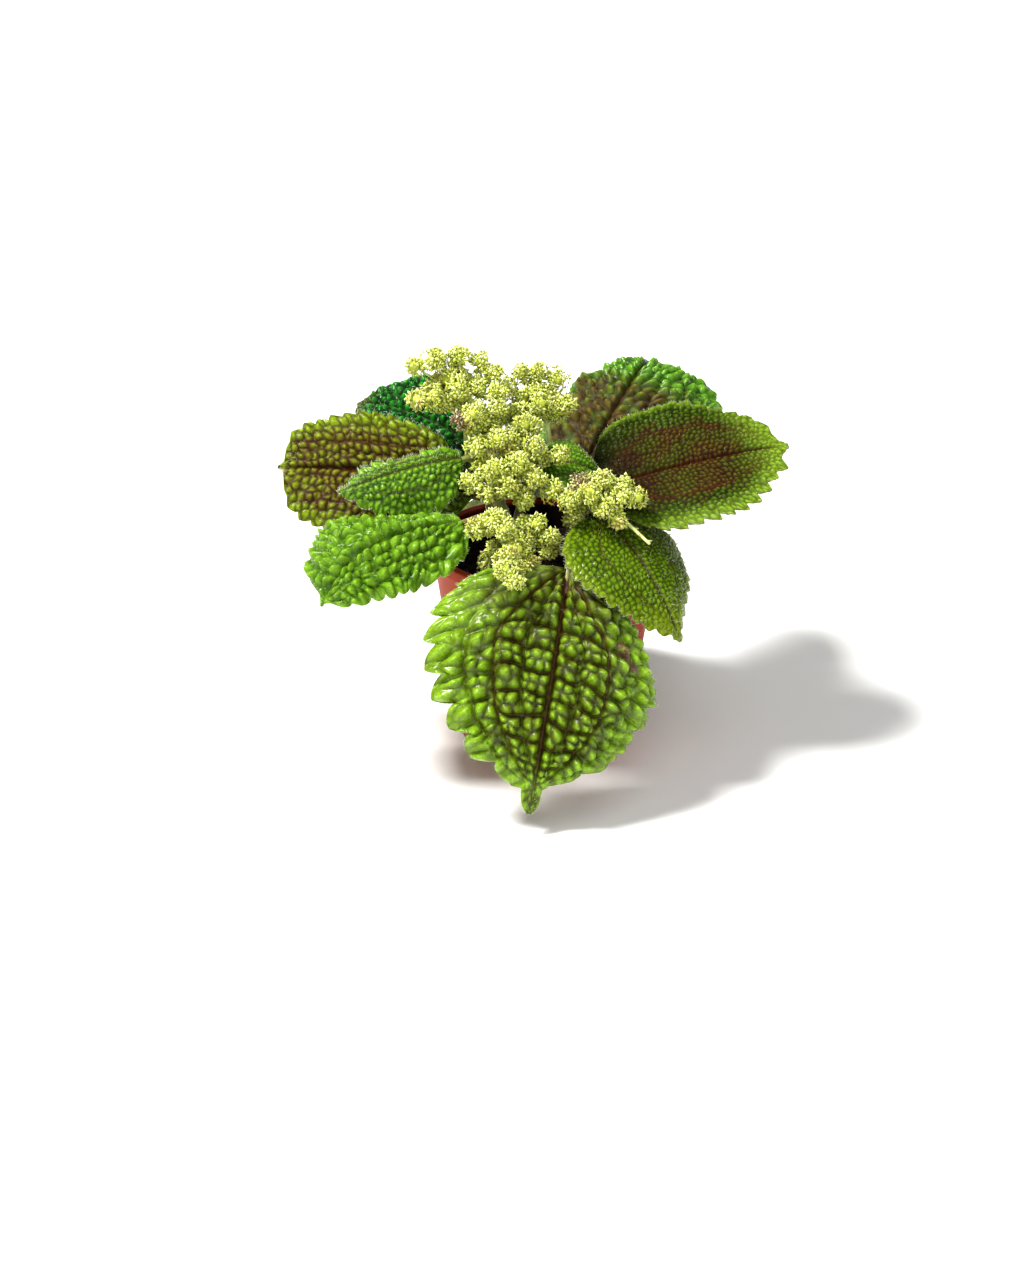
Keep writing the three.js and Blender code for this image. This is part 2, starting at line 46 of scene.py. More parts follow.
camera = {"target": [-7.7, 0, 23], "elevation": 25, "distance": 600, "lens": 72.56}
lights = {
    "key": {"place": [-900, -120, 1650], "size": 420, "power": 60, "colour": [1, 0.99, 0.97]},
    "fill": {"place": [300, -1500, 700], "size": 1300, "power": 14.5, "colour": [0.97, 0.99, 1]},
    "top": {"place": [500, -350, 1800], "size": 900, "power": 5, "colour": [1, 1, 1]},
}
room = {"floor": [0.9, 0.9, 0.89], "air": [1, 1, 1], "airLight": 0.22, "floorSize": 6000,
        "floorCells": 8, "litPlace": [-5, -5, 50]}


# The outer radius of the pot's wall at a height.
def potWallRadius(height):
    low, high = potForm["baseRadius"], potForm["topRadius"] - potForm["lipWidth"]
    return low + (high - low) * height / potForm["height"]


def potInsideRadius(height):
    return potWallRadius(height) - potForm["wall"]


# small helpers

goldenAngle = math.pi * (3 - math.sqrt(5))


def unit(vectors):
    return vectors / np.maximum(np.linalg.norm(vectors, axis=-1, keepdims=True), 1e-9)


def smooth(low, high, value):
    share = np.clip((value - low) / (high - low), 0, 1)
    return share * share * (3 - 2 * share)


def bell(distance, width):
    return np.exp(-((distance / width) ** 2))


def hashed(first, second, seed):
    return np.mod(np.sin(first * 127.1 + second * 311.7 + seed * 74.7) * 43758.5453, 1)


# Rounded cobbles on a jittered lattice: 0 along their borders, 1 at their middles, and a value for each.
def cobbles(first, second, seed, jitter):
    near = np.full(first.shape, 9.0)
    farther = np.full(first.shape, 9.0)
    pick = np.zeros(first.shape)
    for stepFirst in (-1, 0, 1):
        for stepSecond in (-1, 0, 1):
            cellFirst = np.floor(first) + stepFirst
            cellSecond = np.floor(second) + stepSecond
            offFirst = 0.5 + jitter * (hashed(cellFirst, cellSecond, seed) - 0.5)
            offSecond = 0.5 + jitter * (hashed(cellFirst, cellSecond, seed + 1) - 0.5)
            distance = np.hypot(cellFirst + offFirst - first, cellSecond + offSecond - second)
            closer = distance < near
            farther = np.where(closer, near, np.minimum(farther, distance))
            pick = np.where(closer, hashed(cellFirst, cellSecond, seed + 2), pick)
            near = np.where(closer, distance, near)
    return (farther - near) / (farther + near), pick


# Slow bumps between -1 and 1 over two coordinates, with about one bump in each unit.
def ripple(first, second, seed):
    turn = hashed(seed, 1.0, 3.0) * 6
    slow = np.sin(first * 2.9 + turn) * np.sin(second * 3.3 + turn * 1.7)
    return slow * 0.6 + 0.4 * np.sin(first * 6.1 + second * 4.7 + turn * 2.3)


# The same random numbers as the solids', so that the branches match.
def solidRandom(seed):
    state = seed
    while True:
        state = (state * 1664525 + 1013904223) % 4294967296
        yield state / 4294967296


# A smooth curve through points, at shares of its parameter.
def splinePlaces(points, shares):
    points = np.array(points, float)
    ends = np.vstack([2 * points[0] - points[1], points, 2 * points[-1] - points[-2]])
    spans = len(points) - 1
    place = np.clip(np.asarray(shares, float), 0, 1) * spans
    first = np.minimum(place.astype(int), spans - 1)
    w = (place - first)[:, None]
    a, b, c, d = (ends[first + k] for k in range(4))
    before = np.linalg.norm(b - a, axis=1, keepdims=True) ** 0.5
    here = np.linalg.norm(c - b, axis=1, keepdims=True) ** 0.5
    after = np.linalg.norm(d - c, axis=1, keepdims=True) ** 0.5
    enter = ((b - a) / before - (c - a) / (before + here) + (c - b) / here) * here
    leave = ((c - b) / here - (d - b) / (here + after) + (d - c) / after) * here
    bent = (3 * (c - b) - 2 * enter - leave) * w**2 + (2 * (b - c) + enter + leave) * w**3
    return b + enter * w + bent


# The same at shares of its length, with the directions there and the whole length.
def curvePlaces(points, shares):
    fine = np.linspace(0, 1, 201)
    places = splinePlaces(points, fine)
    lengths = np.concatenate([[0], np.cumsum(np.linalg.norm(np.diff(places, axis=0), axis=1))])
    t = np.interp(np.asarray(shares, float) * lengths[-1], lengths, fine)
    ahead = splinePlaces(points, np.minimum(t + 1e-3, 1)) - splinePlaces(points, np.maximum(t - 1e-3, 0))
    return splinePlaces(points, t), unit(ahead), lengths[-1]


# Mesh parts: lists of points, triangles, material numbers and values for each point.
class Shape:
    def __init__(self, *masks):
        self.points = []
        self.triangles = []
        self.slots = []
        self.masks = {mask: [] for mask in masks}
        self.count = 0

    def add(self, points, triangles, slot=0, **masks):
        points = np.asarray(points, float).reshape(-1, 3)
        triangles = np.asarray(triangles, int).reshape(-1, 3)
        self.points.append(points)
        self.triangles.append(triangles + self.count)
        self.slots.append(np.full(len(triangles), slot))
        for mask, values in self.masks.items():
            values.append(np.broadcast_to(masks.get(mask, 0.0), (len(points),)))
        self.count += len(points)

    def build(self, name, materials):
        points = np.concatenate(self.points) * mm
        triangles = np.concatenate(self.triangles)
        mesh = bpy.data.meshes.new(name)
        mesh.vertices.add(len(points))
        mesh.vertices.foreach_set("co", points.ravel())
        mesh.loops.add(triangles.size)
        mesh.loops.foreach_set("vertex_index", triangles.ravel())
        mesh.polygons.add(len(triangles))
        mesh.polygons.foreach_set("loop_start", np.arange(0, triangles.size, 3))
        mesh.polygons.foreach_set("material_index", np.concatenate(self.slots))
        mesh.polygons.foreach_set("use_smooth", np.ones(len(triangles), bool))
        for mask, values in self.masks.items():
            layer = mesh.attributes.new(mask, "FLOAT", "POINT")
            layer.data.foreach_set("value", np.concatenate(values))
        for material in materials:
            mesh.materials.append(material)
        mesh.update(calc_edges=True)
        piece = bpy.data.objects.new(name, mesh)
        bpy.context.scene.collection.objects.link(piece)
        return piece


def dress(piece, slot, *nodes):
    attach(piece, "root")
    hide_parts(*nodes)
    print(piece.name, len(piece.data.polygons), "triangles")


# Points and triangles of a closed body through rings of points, with a point in the middle of either end.
def ringMesh(rings, foot, head):
    steps, sides = rings.shape[:2]
    points = np.vstack([rings.reshape(-1, 3), foot, head])
    ring, side = np.meshgrid(np.arange(steps - 1), np.arange(sides), indexing="ij")
    here = ring * sides + side
    beside = ring * sides + (side + 1) % sides
    first = np.stack([here, beside, beside + sides], -1)
    second = np.stack([here, beside + sides, here + sides], -1)
    walls = np.stack([first, second], 1).reshape(-1, 3)
    edge = np.arange(sides)
    far = (steps - 1) * sides
    start = np.stack([(edge + 1) % sides, edge, np.full(sides, steps * sides)], -1)
    end = np.stack([far + edge, far + (edge + 1) % sides, np.full(sides, steps * sides + 1)], -1)
    return points, np.vstack([walls, start, end])


# A round tube with closed ends. wave shifts the radius at each ring's points.
def tube(places, directions, radii, sides, wave=None):
    across = np.cross(directions[0], [0, 0, 1.0] if abs(directions[0][2]) < 0.9 else [1.0, 0, 0])
    turn = np.arange(sides) * 2 * math.pi / sides
    rings = np.zeros((len(places), sides, 3))
    for k in range(len(places)):
        across = unit(across - directions[k] * (across @ directions[k]))
        upward = np.cross(directions[k], across)
        ringWay = np.cos(turn)[:, None] * across + np.sin(turn)[:, None] * upward
        radius = np.full(sides, radii[k]) if wave is None else radii[k] * wave[k]
        rings[k] = places[k] + ringWay * radius[:, None]
    return ringMesh(rings, places[0], places[-1])


# A body turned round the z axis, from a profile of radii and heights.
def revolve(profile, sides):
    turn = np.arange(sides) * 2 * math.pi / sides
    rings = [np.stack([r * np.cos(turn), r * np.sin(turn), np.full(sides, z)], 1) for r, z in profile]
    return ringMesh(np.stack(rings), [0, 0, profile[0][1]], [0, 0, profile[-1][1]])


# One pattern of triangles for each of many bodies with the same number of points.
def copies(pattern, points, count):
    return (np.array(pattern)[None] + points * np.arange(count)[:, None, None]).reshape(-1, 3)


# Thin pointed hairs, each a closed spike with three sides.
def spikes(feet, tips, radius):
    ahead = unit(tips - feet)
    helper = np.where(np.abs(ahead[:, 2:]) < 0.9, [[0, 0, 1.0]], [[1.0, 0, 0]])
    across = unit(np.cross(ahead, helper))
    upward = np.cross(ahead, across)
    corners = [feet + radius * (math.cos(a) * across + math.sin(a) * upward) for a in (0, 2.0944, 4.1888)]
    points = np.stack([*corners, tips], 1).reshape(-1, 3)
    return points, copies([[0, 2, 1], [0, 1, 3], [1, 2, 3], [2, 0, 3]], 4, len(feet))


# materials

def rgb(red, green, blue):
    shares = (np.array([red, green, blue]) / 255).tolist()
    return [s / 12.92 if s <= 0.04045 else ((s + 0.055) / 1.055) ** 2.4 for s in shares] + [1.0]


def feed(tree, socket, value):
    if isinstance(value, bpy.types.NodeSocket):
        tree.links.new(value, socket)
    else:
        socket.default_value = value


def addNode(tree, kind, inputs=None, **settings):
    node = tree.nodes.new(kind)
    for key, value in settings.items():
        setattr(node, key, value)
    for key, value in (inputs or {}).items():
        feed(tree, node.inputs[key], value)
    return node


def mixColour(tree, share, first, second, blend="MIX"):
    inputs = {0: share, 6: first, 7: second}
    return addNode(tree, "ShaderNodeMix", inputs, data_type="RGBA", blend_type=blend).outputs[2]


def calculate(tree, operation, first, second=0.0, clamp=False):
    node = addNode(tree, "ShaderNodeMath", {0: first, 1: second}, operation=operation, use_clamp=clamp)
    return node.outputs[0]


def ramp(tree, value, low, high):
    inputs = {"Value": value, "From Min": low, "From Max": high}
    return addNode(tree, "ShaderNodeMapRange", inputs, interpolation_type="SMOOTHSTEP").outputs["Result"]


def noise(tree, scale, detail=3.0):
    place = addNode(tree, "ShaderNodeTexCoord").outputs["Object"]
    inputs = {"Vector": place, "Scale": scale, "Detail": detail}
    return addNode(tree, "ShaderNodeTexNoise", inputs).outputs["Fac"]


def mask(tree, name):
    return addNode(tree, "ShaderNodeAttribute", attribute_name=name).outputs["Fac"]


def newGroup(name, inputs, outputs):
    tree = bpy.data.node_groups.new(name, "ShaderNodeTree")
    for socketName, kind, value in inputs:
        socket = tree.interface.new_socket(socketName, in_out="INPUT", socket_type=kind)
        socket.default_value = value
    for socketName, kind in outputs:
        tree.interface.new_socket(socketName, in_out="OUTPUT", socket_type=kind)
    return tree, tree.nodes.new("NodeGroupInput").outputs, tree.nodes.new("NodeGroupOutput")


# Leaf skin: green cobbles, grooves darkened partly in their own colour and partly as painted shade, brown
# veins, a bronze middle, a lime margin and brown scars.
def quiltedSkinGroup():
    colour = "NodeSocketColor"
    names = ["Dome", "Groove", "Vein", "Bronze", "Bronze Groove", "Margin", "Under", "Scar"]
    inputs = [(name, colour, rgb(90, 130, 40)) for name in names]
    tree, given, out = newGroup("quiltedSkin", inputs, [("Color", colour), ("Roughness", "NodeSocketFloat")])
    dome = mask(tree, "dome")
    patches = noise(tree, 220, 4)
    freckles = noise(tree, 1500, 2)
    drifts = ramp(tree, noise(tree, 170, 3), 0.38, 0.58)
    uneven = calculate(tree, "ADD", calculate(tree, "MULTIPLY", drifts, 0.5), 0.5)
    bronze = calculate(tree, "MULTIPLY", mask(tree, "bronze"), uneven, True)
    # Painted shade, in part: the colour runs from Groove to Dome with the crest mask, so the creases between
    # cobbles and the pillows' edges come out darker and the lime margin fades there; partly this is the
    # leaf's own darker valleys.
    crest = ramp(tree, calculate(tree, "ADD", dome, calculate(tree, "MULTIPLY", patches, 0.5)), 0.25, 1.2)
    green = mixColour(tree, crest, given["Groove"], given["Dome"])
    brown = mixColour(tree, crest, given["Bronze Groove"], given["Bronze"])
    marginShare = calculate(tree, "ADD", calculate(tree, "MULTIPLY", crest, 0.5), 0.5)
    rimmed = calculate(tree, "MULTIPLY", mask(tree, "margin"), marginShare)
    margin = mixColour(tree, rimmed, green, given["Margin"])
    skin = mixColour(tree, bronze, margin, brown)
    veined = mixColour(tree, mask(tree, "vein"), skin, given["Vein"])
    scar = calculate(tree, "MULTIPLY", mask(tree, "scar"), ramp(tree, freckles, 0.35, 0.5))
    scarred = mixColour(tree, scar, veined, given["Scar"])
    under = mixColour(tree, mask(tree, "under"), scarred, given["Under"])
    light = mixColour(tree, ramp(tree, freckles, 0.3, 0.75), rgb(215, 215, 205), rgb(255, 255, 255))
    tinted = mixColour(tree, 1.0, under, light, "MULTIPLY")
    tree.links.new(tinted, out.inputs["Color"])
    rough = addNode(tree, "ShaderNodeMapRange", {"Value": freckles, "From Min": 0.3, "From Max": 0.7,
                                                 "To Min": 0.17, "To Max": 0.3})
    dull = calculate(tree, "MAXIMUM", calculate(tree, "MULTIPLY", mask(tree, "vein"), 0.4),
                     calculate(tree, "MULTIPLY", mask(tree, "bronze"), 0.35))
    tree.links.new(calculate(tree, "ADD", rough.outputs["Result"], dull), out.inputs["Roughness"])
    return tree


# Fine grain: a bump height from two sizes of noise, for skin, plastic and soil.
def grainGroup():
    value = "NodeSocketFloat"
    inputs = [("Coarse Scale", value, 400.0), ("Fine Scale", value, 2500.0), ("Fine Share", value, 0.4)]
    tree, given, out = newGroup("surfaceGrain", inputs, [("Height", value)])
    coarse = noise(tree, given["Coarse Scale"], 3.0)
    fine = calculate(tree, "MULTIPLY", noise(tree, given["Fine Scale"], 2.0), given["Fine Share"])
    tree.links.new(calculate(tree, "ADD", coarse, fine), out.inputs["Height"])
    return tree


quiltedSkin = quiltedSkinGroup()
surfaceGrain = grainGroup()


def newMaterial(name, grain, sockets):
    material = bpy.data.materials.new(name)
    material.use_nodes = True
    tree = material.node_tree
    shader = tree.nodes["Principled BSDF"]
    for key, value in sockets.items():
        shader.inputs[key].default_value = value
    if grain:
        inputs = {"Coarse Scale": grain["coarse"], "Fine Scale": grain["fine"], "Fine Share": grain["share"]}
        texture = addNode(tree, "ShaderNodeGroup", inputs, node_tree=surfaceGrain)
        relief = {"Strength": grain["strength"], "Distance": grain["depth"] * mm,
                  "Height": texture.outputs["Height"]}
        bump = addNode(tree, "ShaderNodeBump", relief)
        tree.links.new(bump.outputs["Normal"], shader.inputs["Normal"])
    return material, tree, shader


leafGrain = {"coarse": 900.0, "fine": 4200.0, "share": 0.5, "strength": 0.35, "depth": 0.12}
glossy = {"Specular IOR Level": 0.28}
satin = {"Specular IOR Level": 0.16}
dull = {"Specular IOR Level": 0.06}
scarColour = rgb(104, 76, 62)


def leafMaterial(name, shine, colours):
    material, tree, shader = newMaterial(name, leafGrain, shine)
    skin = addNode(tree, "ShaderNodeGroup", {**colours, "Scar": scarColour}, node_tree=quiltedSkin)
    tree.links.new(skin.outputs["Color"], shader.inputs["Base Color"])
    tree.links.new(skin.outputs["Roughness"], shader.inputs["Roughness"])
    return material


brightSkin = leafMaterial("brightLeafSkin", glossy, {
    "Dome": rgb(132, 172, 36), "Groove": rgb(48, 52, 6), "Vein": rgb(72, 34, 12), "Bronze": rgb(104, 112, 26),
    "Bronze Groove": rgb(48, 34, 8), "Margin": rgb(132, 168, 42), "Under": rgb(140, 156, 84)})
freshSkin = leafMaterial("freshLeafSkin", satin, {
    "Dome": rgb(118, 160, 38), "Groove": rgb(38, 74, 4), "Vein": rgb(60, 60, 10), "Bronze": rgb(92, 98, 24),
    "Bronze Groove": rgb(48, 44, 8), "Margin": rgb(124, 168, 42), "Under": rgb(140, 156, 84)})
limeSkin = leafMaterial("limeLeafSkin", satin, {
    "Dome": rgb(101, 131, 13), "Groove": rgb(42, 58, 2), "Vein": rgb(64, 50, 10), "Bronze": rgb(100, 96, 24),
    "Bronze Groove": rgb(52, 40, 8), "Margin": rgb(128, 148, 26), "Under": rgb(148, 156, 90)})
bronzeSkin = leafMaterial("bronzeLeafSkin", dull, {
    "Dome": rgb(70, 98, 16), "Groove": rgb(24, 38, 4), "Vein": rgb(70, 14, 14), "Bronze": rgb(86, 70, 20),
    "Bronze Groove": rgb(34, 16, 8), "Margin": rgb(132, 162, 52), "Under": rgb(150, 140, 100)})
oliveSkin = leafMaterial("oliveLeafSkin", satin, {
    "Dome": rgb(126, 148, 28), "Groove": rgb(58, 54, 6), "Vein": rgb(66, 26, 8), "Bronze": rgb(112, 106, 24),
    "Bronze Groove": rgb(60, 26, 6), "Margin": rgb(128, 152, 30), "Under": rgb(150, 146, 96)})
deepSkin = leafMaterial("deepLeafSkin", satin, {
    "Dome": rgb(48, 142, 43), "Groove": rgb(8, 46, 8), "Vein": rgb(40, 50, 12), "Bronze": rgb(98, 92, 30),
    "Bronze Groove": rgb(54, 46, 12), "Margin": rgb(58, 134, 38), "Under": rgb(120, 146, 92)})
crestSkin = leafMaterial("crestLeafSkin", glossy, {
    "Dome": rgb(106, 156, 40), "Groove": rgb(34, 78, 8), "Vein": rgb(66, 44, 14), "Bronze": rgb(96, 84, 22),
    "Bronze Groove": rgb(42, 28, 8), "Margin": rgb(106, 158, 44), "Under": rgb(134, 154, 96)})


def stalkMaterial():
    material, tree, shader = newMaterial("leafStalk", leafGrain, {"Roughness": 0.42})
    flush = ramp(tree, noise(tree, 130, 3), 0.38, 0.62)
    colour = mixColour(tree, flush, rgb(116, 92, 52), rgb(140, 150, 78))
    tree.links.new(colour, shader.inputs["Base Color"])
    return material


leafHair = newMaterial("leafHair", None, {"Base Color": rgb(214, 220, 190), "Roughness": 0.6})[0]
leafStalk = stalkMaterial()

# stems

stemForm = {"depth": 11, "rootRadius": 1.9, "topRadius": 1.35, "sides": 18, "steps": 90, "hairs": 260,
            "hairRadius": 0.035, "seed": 11}
leftStem = {"name": "leftStem", "node": "stem_left", "foot": [-8, 2],
            "lean": [[-9.5, 2.5, 52], [-12, 4, 60], [-13.5, 5, 67]], "nodes": [49, 54, 60, 65.5]}
rightStem = {"name": "rightStem", "node": "stem_right", "foot": [6, 3],
             "lean": [[6.5, 3.5, 52], [6, 5, 60], [5, 6, 68]], "nodes": [49, 53, 60, 65.5]}


def stemPoints(stem):
    x, y = stem["foot"]
    level = soilForm["level"]
    return [[x, y, level - stemForm["depth"]], [x, y, level], *stem["lean"]]


def stemRadius(share):
    return stemForm["rootRadius"] + (stemForm["topRadius"] - stemForm["rootRadius"]) * share


def makeStem(stem):
    shares = np.linspace(0, 1, stemForm["steps"])
    places, ahead, _ = curvePlaces(stemPoints(stem), shares)
    radii = stemRadius(shares)
    for height in stem["nodes"]:
        radii = radii + 0.22 * bell(places[:, 2] - height, 0.7) - 0.1 * bell(places[:, 2] - height - 1.2, 0.5)
    turn = np.arange(stemForm["sides"]) * 2 * math.pi / stemForm["sides"]
    wave = 1 + 0.035 * np.sin(turn[None] * 5 + shares[:, None] * 3)
    shape = Shape()
    shape.add(*tube(places, ahead, radii, stemForm["sides"], wave))
    rng = np.random.default_rng(stemForm["seed"])
    pick = rng.integers(20, stemForm["steps"], stemForm["hairs"])
    angle = rng.uniform(0, 2 * math.pi, stemForm["hairs"])
    across = unit(np.cross(ahead[pick], [0.0, 1.0, 0.1]))
    out = np.cos(angle)[:, None] * across + np.sin(angle)[:, None] * np.cross(ahead[pick], across)
    feet = places[pick] + out * (radii[pick] * 0.97)[:, None]
    tips = feet + (out + ahead[pick] * 0.3) * rng.uniform(0.5, 1.0, stemForm["hairs"])[:, None]
    shape.add(*spikes(feet, tips, stemForm["hairRadius"]), slot=1)
    dress(shape.build(stem["name"], [leafStalk, leafHair]), "stem", stem["node"])


# The point just off a stem's skin at a height, towards a target, and the way out there.
def stemExit(stem, height, target):
    shares = np.arange(0, 1.0005, 0.002)
    line = splinePlaces(stemPoints(stem), shares)
    k = min(int(np.argmax(line[:, 2] >= height)) or len(line) - 1, len(line) - 1)
    near = splinePlaces(stemPoints(stem), [max(shares[k] - 1e-4, 0), min(shares[k] + 1e-4, 1)])
    ahead = unit(near[1] - near[0])
    out = np.array(target, float) - line[k]
    out = unit(out - ahead * (out @ ahead))
    return line[k] + out * (stemRadius(shares[k]) + touchGap), out


for stem in (leftStem, rightStem):
    makeStem(stem)

# leaves

leafForm = {"thickness": 0.7, "ribSunk": 0.45, "ribRaised": 0.6, "slant": 0.07, "fingerShare": 0.12,
            "stalkFoot": 1.05, "stalkEnd": 0.75, "stalkTip": 0.25, "stalkSides": 14, "flare": 1.2,
            "straight": 0.3, "stalkSteps": 40, "underShare": 0.3, "underSteps": 12, "curved": 1.06,
            "notch": 0.3, "hairRadius": 0.03}
usualQuilt = {"lateral": 0.5, "jitter": 0.7, "lean": [0.12, 0.12], "rungWide": 0.32, "split": 0.4,
              "shoulder": 1.5, "outerFlat": 0, "outerRungs": 0.8, "rounded": 0.2, "calm": 0, "net": 0.2,
              "soft": 0.15, "veinShow": 0.9}
usualHairs = {"all": 500, "margin": 500, "length": 0.8}


def ribFrame(leaf, u):
    base, tip, face = (np.array(leaf[key], float) for key in ("base", "tip", "face"))
    chord = tip - base
    face = unit(face - unit(chord) * (face @ unit(chord)))
    near = base + chord / 3 + face * leaf["arch"][0]
    far = base + chord * 2 / 3 + face * leaf["arch"][1]
    w = u[..., None]
    rest = 1 - w
    place = rest**3 * base + 3 * rest**2 * w * near + 3 * rest * w**2 * far + w**3 * tip
    along = unit(3 * rest**2 * (near - base) + 6 * rest * w * (far - near) + 3 * w**2 * (tip - far))
    side = unit(np.cross(along, face))
    return place, along, side, np.cross(side, along)


def halfWidth(leaf, half, u):
    body = np.minimum(u / (1 - leaf.get("drip", 0.04)), 1)
    ovate = np.maximum(np.sin(math.pi * body ** half["peak"]), 0) ** leaf["blunt"]
    finger = leafForm["fingerShare"] * half["half"] * np.sqrt(np.maximum(1 - u**12, 0.05))
    return np.maximum(half["half"] * ovate, finger)


# Points of the blade's skin over u, from foot to tip, and v, from -1 to 1, with the way out and the reach.
def bladeSkin(leaf, u, v):
    place, _, side, up = ribFrame(leaf, u)
    onLeft = v < 0
    hand = np.where(onLeft, -1.0, 1.0)
    reach = np.where(onLeft, halfWidth(leaf, leaf["left"], u), halfWidth(leaf, leaf["right"], u))
    fold = np.radians(np.where(onLeft, leaf["left"]["fold"], leaf["right"]["fold"]))
    rim = np.radians(np.where(onLeft, leaf["left"]["rim"], leaf["right"]["rim"]))
    bend = np.where(np.abs(rim - fold) < 1e-4, 1e-4, rim - fold)
    slope = fold + bend * np.abs(v)
    out = (np.sin(slope) - np.sin(fold)) / bend * reach
    rise = (np.cos(fold) - np.cos(slope)) / bend * reach
    normal = up * np.cos(slope)[..., None] - side * (hand * np.sin(slope))[..., None]
    outward = side * hand[..., None]
    return place + outward * out[..., None] + up * rise[..., None], normal, reach, outward


# The quilting over the blade: its height, and masks for cobbles and veins. Long veins part each half into
# lanes, and rungs cross the lanes like a ladder's, so that each cell between them is a pillow of cobbles.
def quilting(leaf, row, v, reach, length):
    quilt = {**usualQuilt, **leaf["quilt"]}
    across = np.abs(v) * reach
    wide = np.where(v < 0, leaf["left"]["half"], leaf["right"]["half"])
    sideSeed = np.where(v < 0, 3.0, 17.0) + quilt["seed"]
    share = quilt["lateral"] * np.minimum(row / 0.28, 1) ** 0.6 * (1 - 0.45 * smooth(0.55, 1.0, row))
    lateral = np.maximum(share * reach, 0.2)
    beyond = across - lateral
    outer = np.maximum(reach - lateral, 0.2)
    lane = np.where(beyond < 0, 2 * across / lateral, 2 + 2 * beyond / outer)
    laneWide = np.where(beyond < 0, lateral, outer) / 2
    toLane = np.where(lane > 3, lane - 3, np.abs(lane - np.round(lane))) * laneWide
    wobble = ripple(across / 9, row * length / 11, quilt["seed"])
    leaning = np.where(v < 0, *quilt["lean"])
    lean = leaning * np.minimum(across, lateral) + 0.4 * np.maximum(beyond, 0)
    rungGap = length / quilt["rungs"]
    shift = 0.4 * hashed(np.floor(lane), sideSeed, quilt["seed"])
    rung = row * quilt["rungs"] - lean / rungGap + 0.12 * wobble + shift
    toRung = np.abs(rung - np.round(rung)) * rungGap
    size = quilt["cobble"]
    jitter = quilt["jitter"]
    lines = quilt.get("lines", max(1, round(rungGap / size)))
    inner, pick = cobbles(rung * lines, across / size + 0.1 * wobble, sideSeed, jitter)
    wider = quilt.get("outerCobble", size)
    outerInner, outerPick = cobbles(row * length / wider + 0.3 * wobble, across / wider, sideSeed + 5, jitter)
    outside = smooth(-0.5, 0.5, beyond)
    inner = inner + outside * (outerInner - inner)
    pick = pick + outside * (outerPick - pick)
    sharp = 1 - (1 - inner) ** 2
    dome = sharp + quilt["rounded"] * (inner * inner * (3 - 2 * inner) - sharp)
    fade = 1 - 0.75 * smooth(0.55, 0.95, row)
    last = 1 - leaf.get("drip", 0.02)
    midrib = bell(across, 0.5 + 0.25 * (1 - row)) * (1 - 0.7 * smooth(last - 0.12, last, row))
    laterals = bell(beyond, 0.45) * fade * smooth(0, 0.06, row)
    rungs = bell(toRung, quilt["rungWide"]) * (1 - 0.6 * smooth(0.75, 1.0, np.abs(v)))
    rungs = rungs * (1 - 0.6 * smooth(0.85, 1, row))
    splits = bell(toLane, 0.3) * quilt["split"] * fade * smooth(0.05, 0.2, row)
    shoulder = quilt["shoulder"]
    fullness = [1 - (1 - np.minimum(gap / shoulder, 1)) ** 2 for gap in (toRung, toLane, across)]
    ladder = quilt["ladder"] * (1 - quilt["outerFlat"] * outside)
    pillow = (1 - ladder + ladder * fullness[0]) * (1 - ladder + ladder * fullness[1]) * fullness[2]
    narrow = np.minimum(1, reach / (0.6 * wide))
    height = quilt["puff"] * (pillow - 0.3) + quilt["bead"] * dome * (0.5 + 0.5 * pick) * (0.3 + 0.7 * pillow)
    calm = quilt["calm"] * smooth(0.42, 0.22, row) * smooth(0.3, 0.6, v)
    height = height * narrow * (1 - calm) - leafForm["ribSunk"] * midrib
    rungs = rungs * (1 - (1 - quilt["outerRungs"]) * smooth(-1, 1, beyond))
    veins = np.maximum.reduce([midrib, laterals * 0.9, rungs * 0.8 * ladder, splits * 0.7])
    veins = np.maximum(veins ** 1.4, (1 - dome) ** 4 * quilt["net"])
    # crest is low in the creases and at the pillows' edges, where it darkens the colour: partly the leaf's
    # own darker valleys and partly painted shade.
    soft = quilt["soft"]
    crest = (soft + (1 - soft) * dome) * (1 - soft + soft * np.sqrt(pillow))
    crest = crest + calm * (0.45 - crest)
    return height, crest, veins * quilt["veinShow"] * (1 - 0.6 * calm)


# How far a tooth stands out along the margin, and how far forwards it leans.
def toothing(leaf, row):
    teeth = leaf["teeth"]
    number = row * teeth["count"]
    phase = np.mod(number, 1)
    saw = np.where(phase < 0.72, (phase / 0.72) ** 0.75, (1 - phase) / 0.28)
    lobe = np.sqrt(np.maximum(1 - (2 * phase**1.3 - 1) ** 2, 0))
    saw = saw + teeth.get("round", 0.3) * (lobe - saw)
    size = 0.7 + 0.5 * hashed(np.floor(number), 2.0, leaf["quilt"]["seed"])
    return saw * size - leafForm["notch"]


def bladeGrid(leaf, length):
    step = leaf.get("step", 0.23)
    rows = 2 * int(length / step / 2)
    widest = max(leaf["left"]["half"], leaf["right"]["half"])
    cols = 4 * int(widest / step / 2)
    row, v = np.meshgrid(np.linspace(0, 1, rows + 1), np.linspace(-1, 1, cols + 1), indexing="ij")
    return row, v, rows, cols


def gridTriangles(rows, cols, flip):
    i, j = np.meshgrid(np.arange(rows), np.arange(cols), indexing="ij")
    a = (i * (cols + 1) + j).ravel()
    b, c, d = a + 1, a + cols + 2, a + cols + 1
    faces = np.vstack([np.stack([a, b, c], 1), np.stack([a, c, d], 1)])
    return faces[:, ::-1] if flip else faces


def rimLoop(rows, cols):
    index = np.arange((rows + 1) * (cols + 1)).reshape(rows + 1, cols + 1)
    return np.concatenate([index[0, :-1], index[:-1, -1], index[-1, :0:-1], index[:0:-1, 0]])


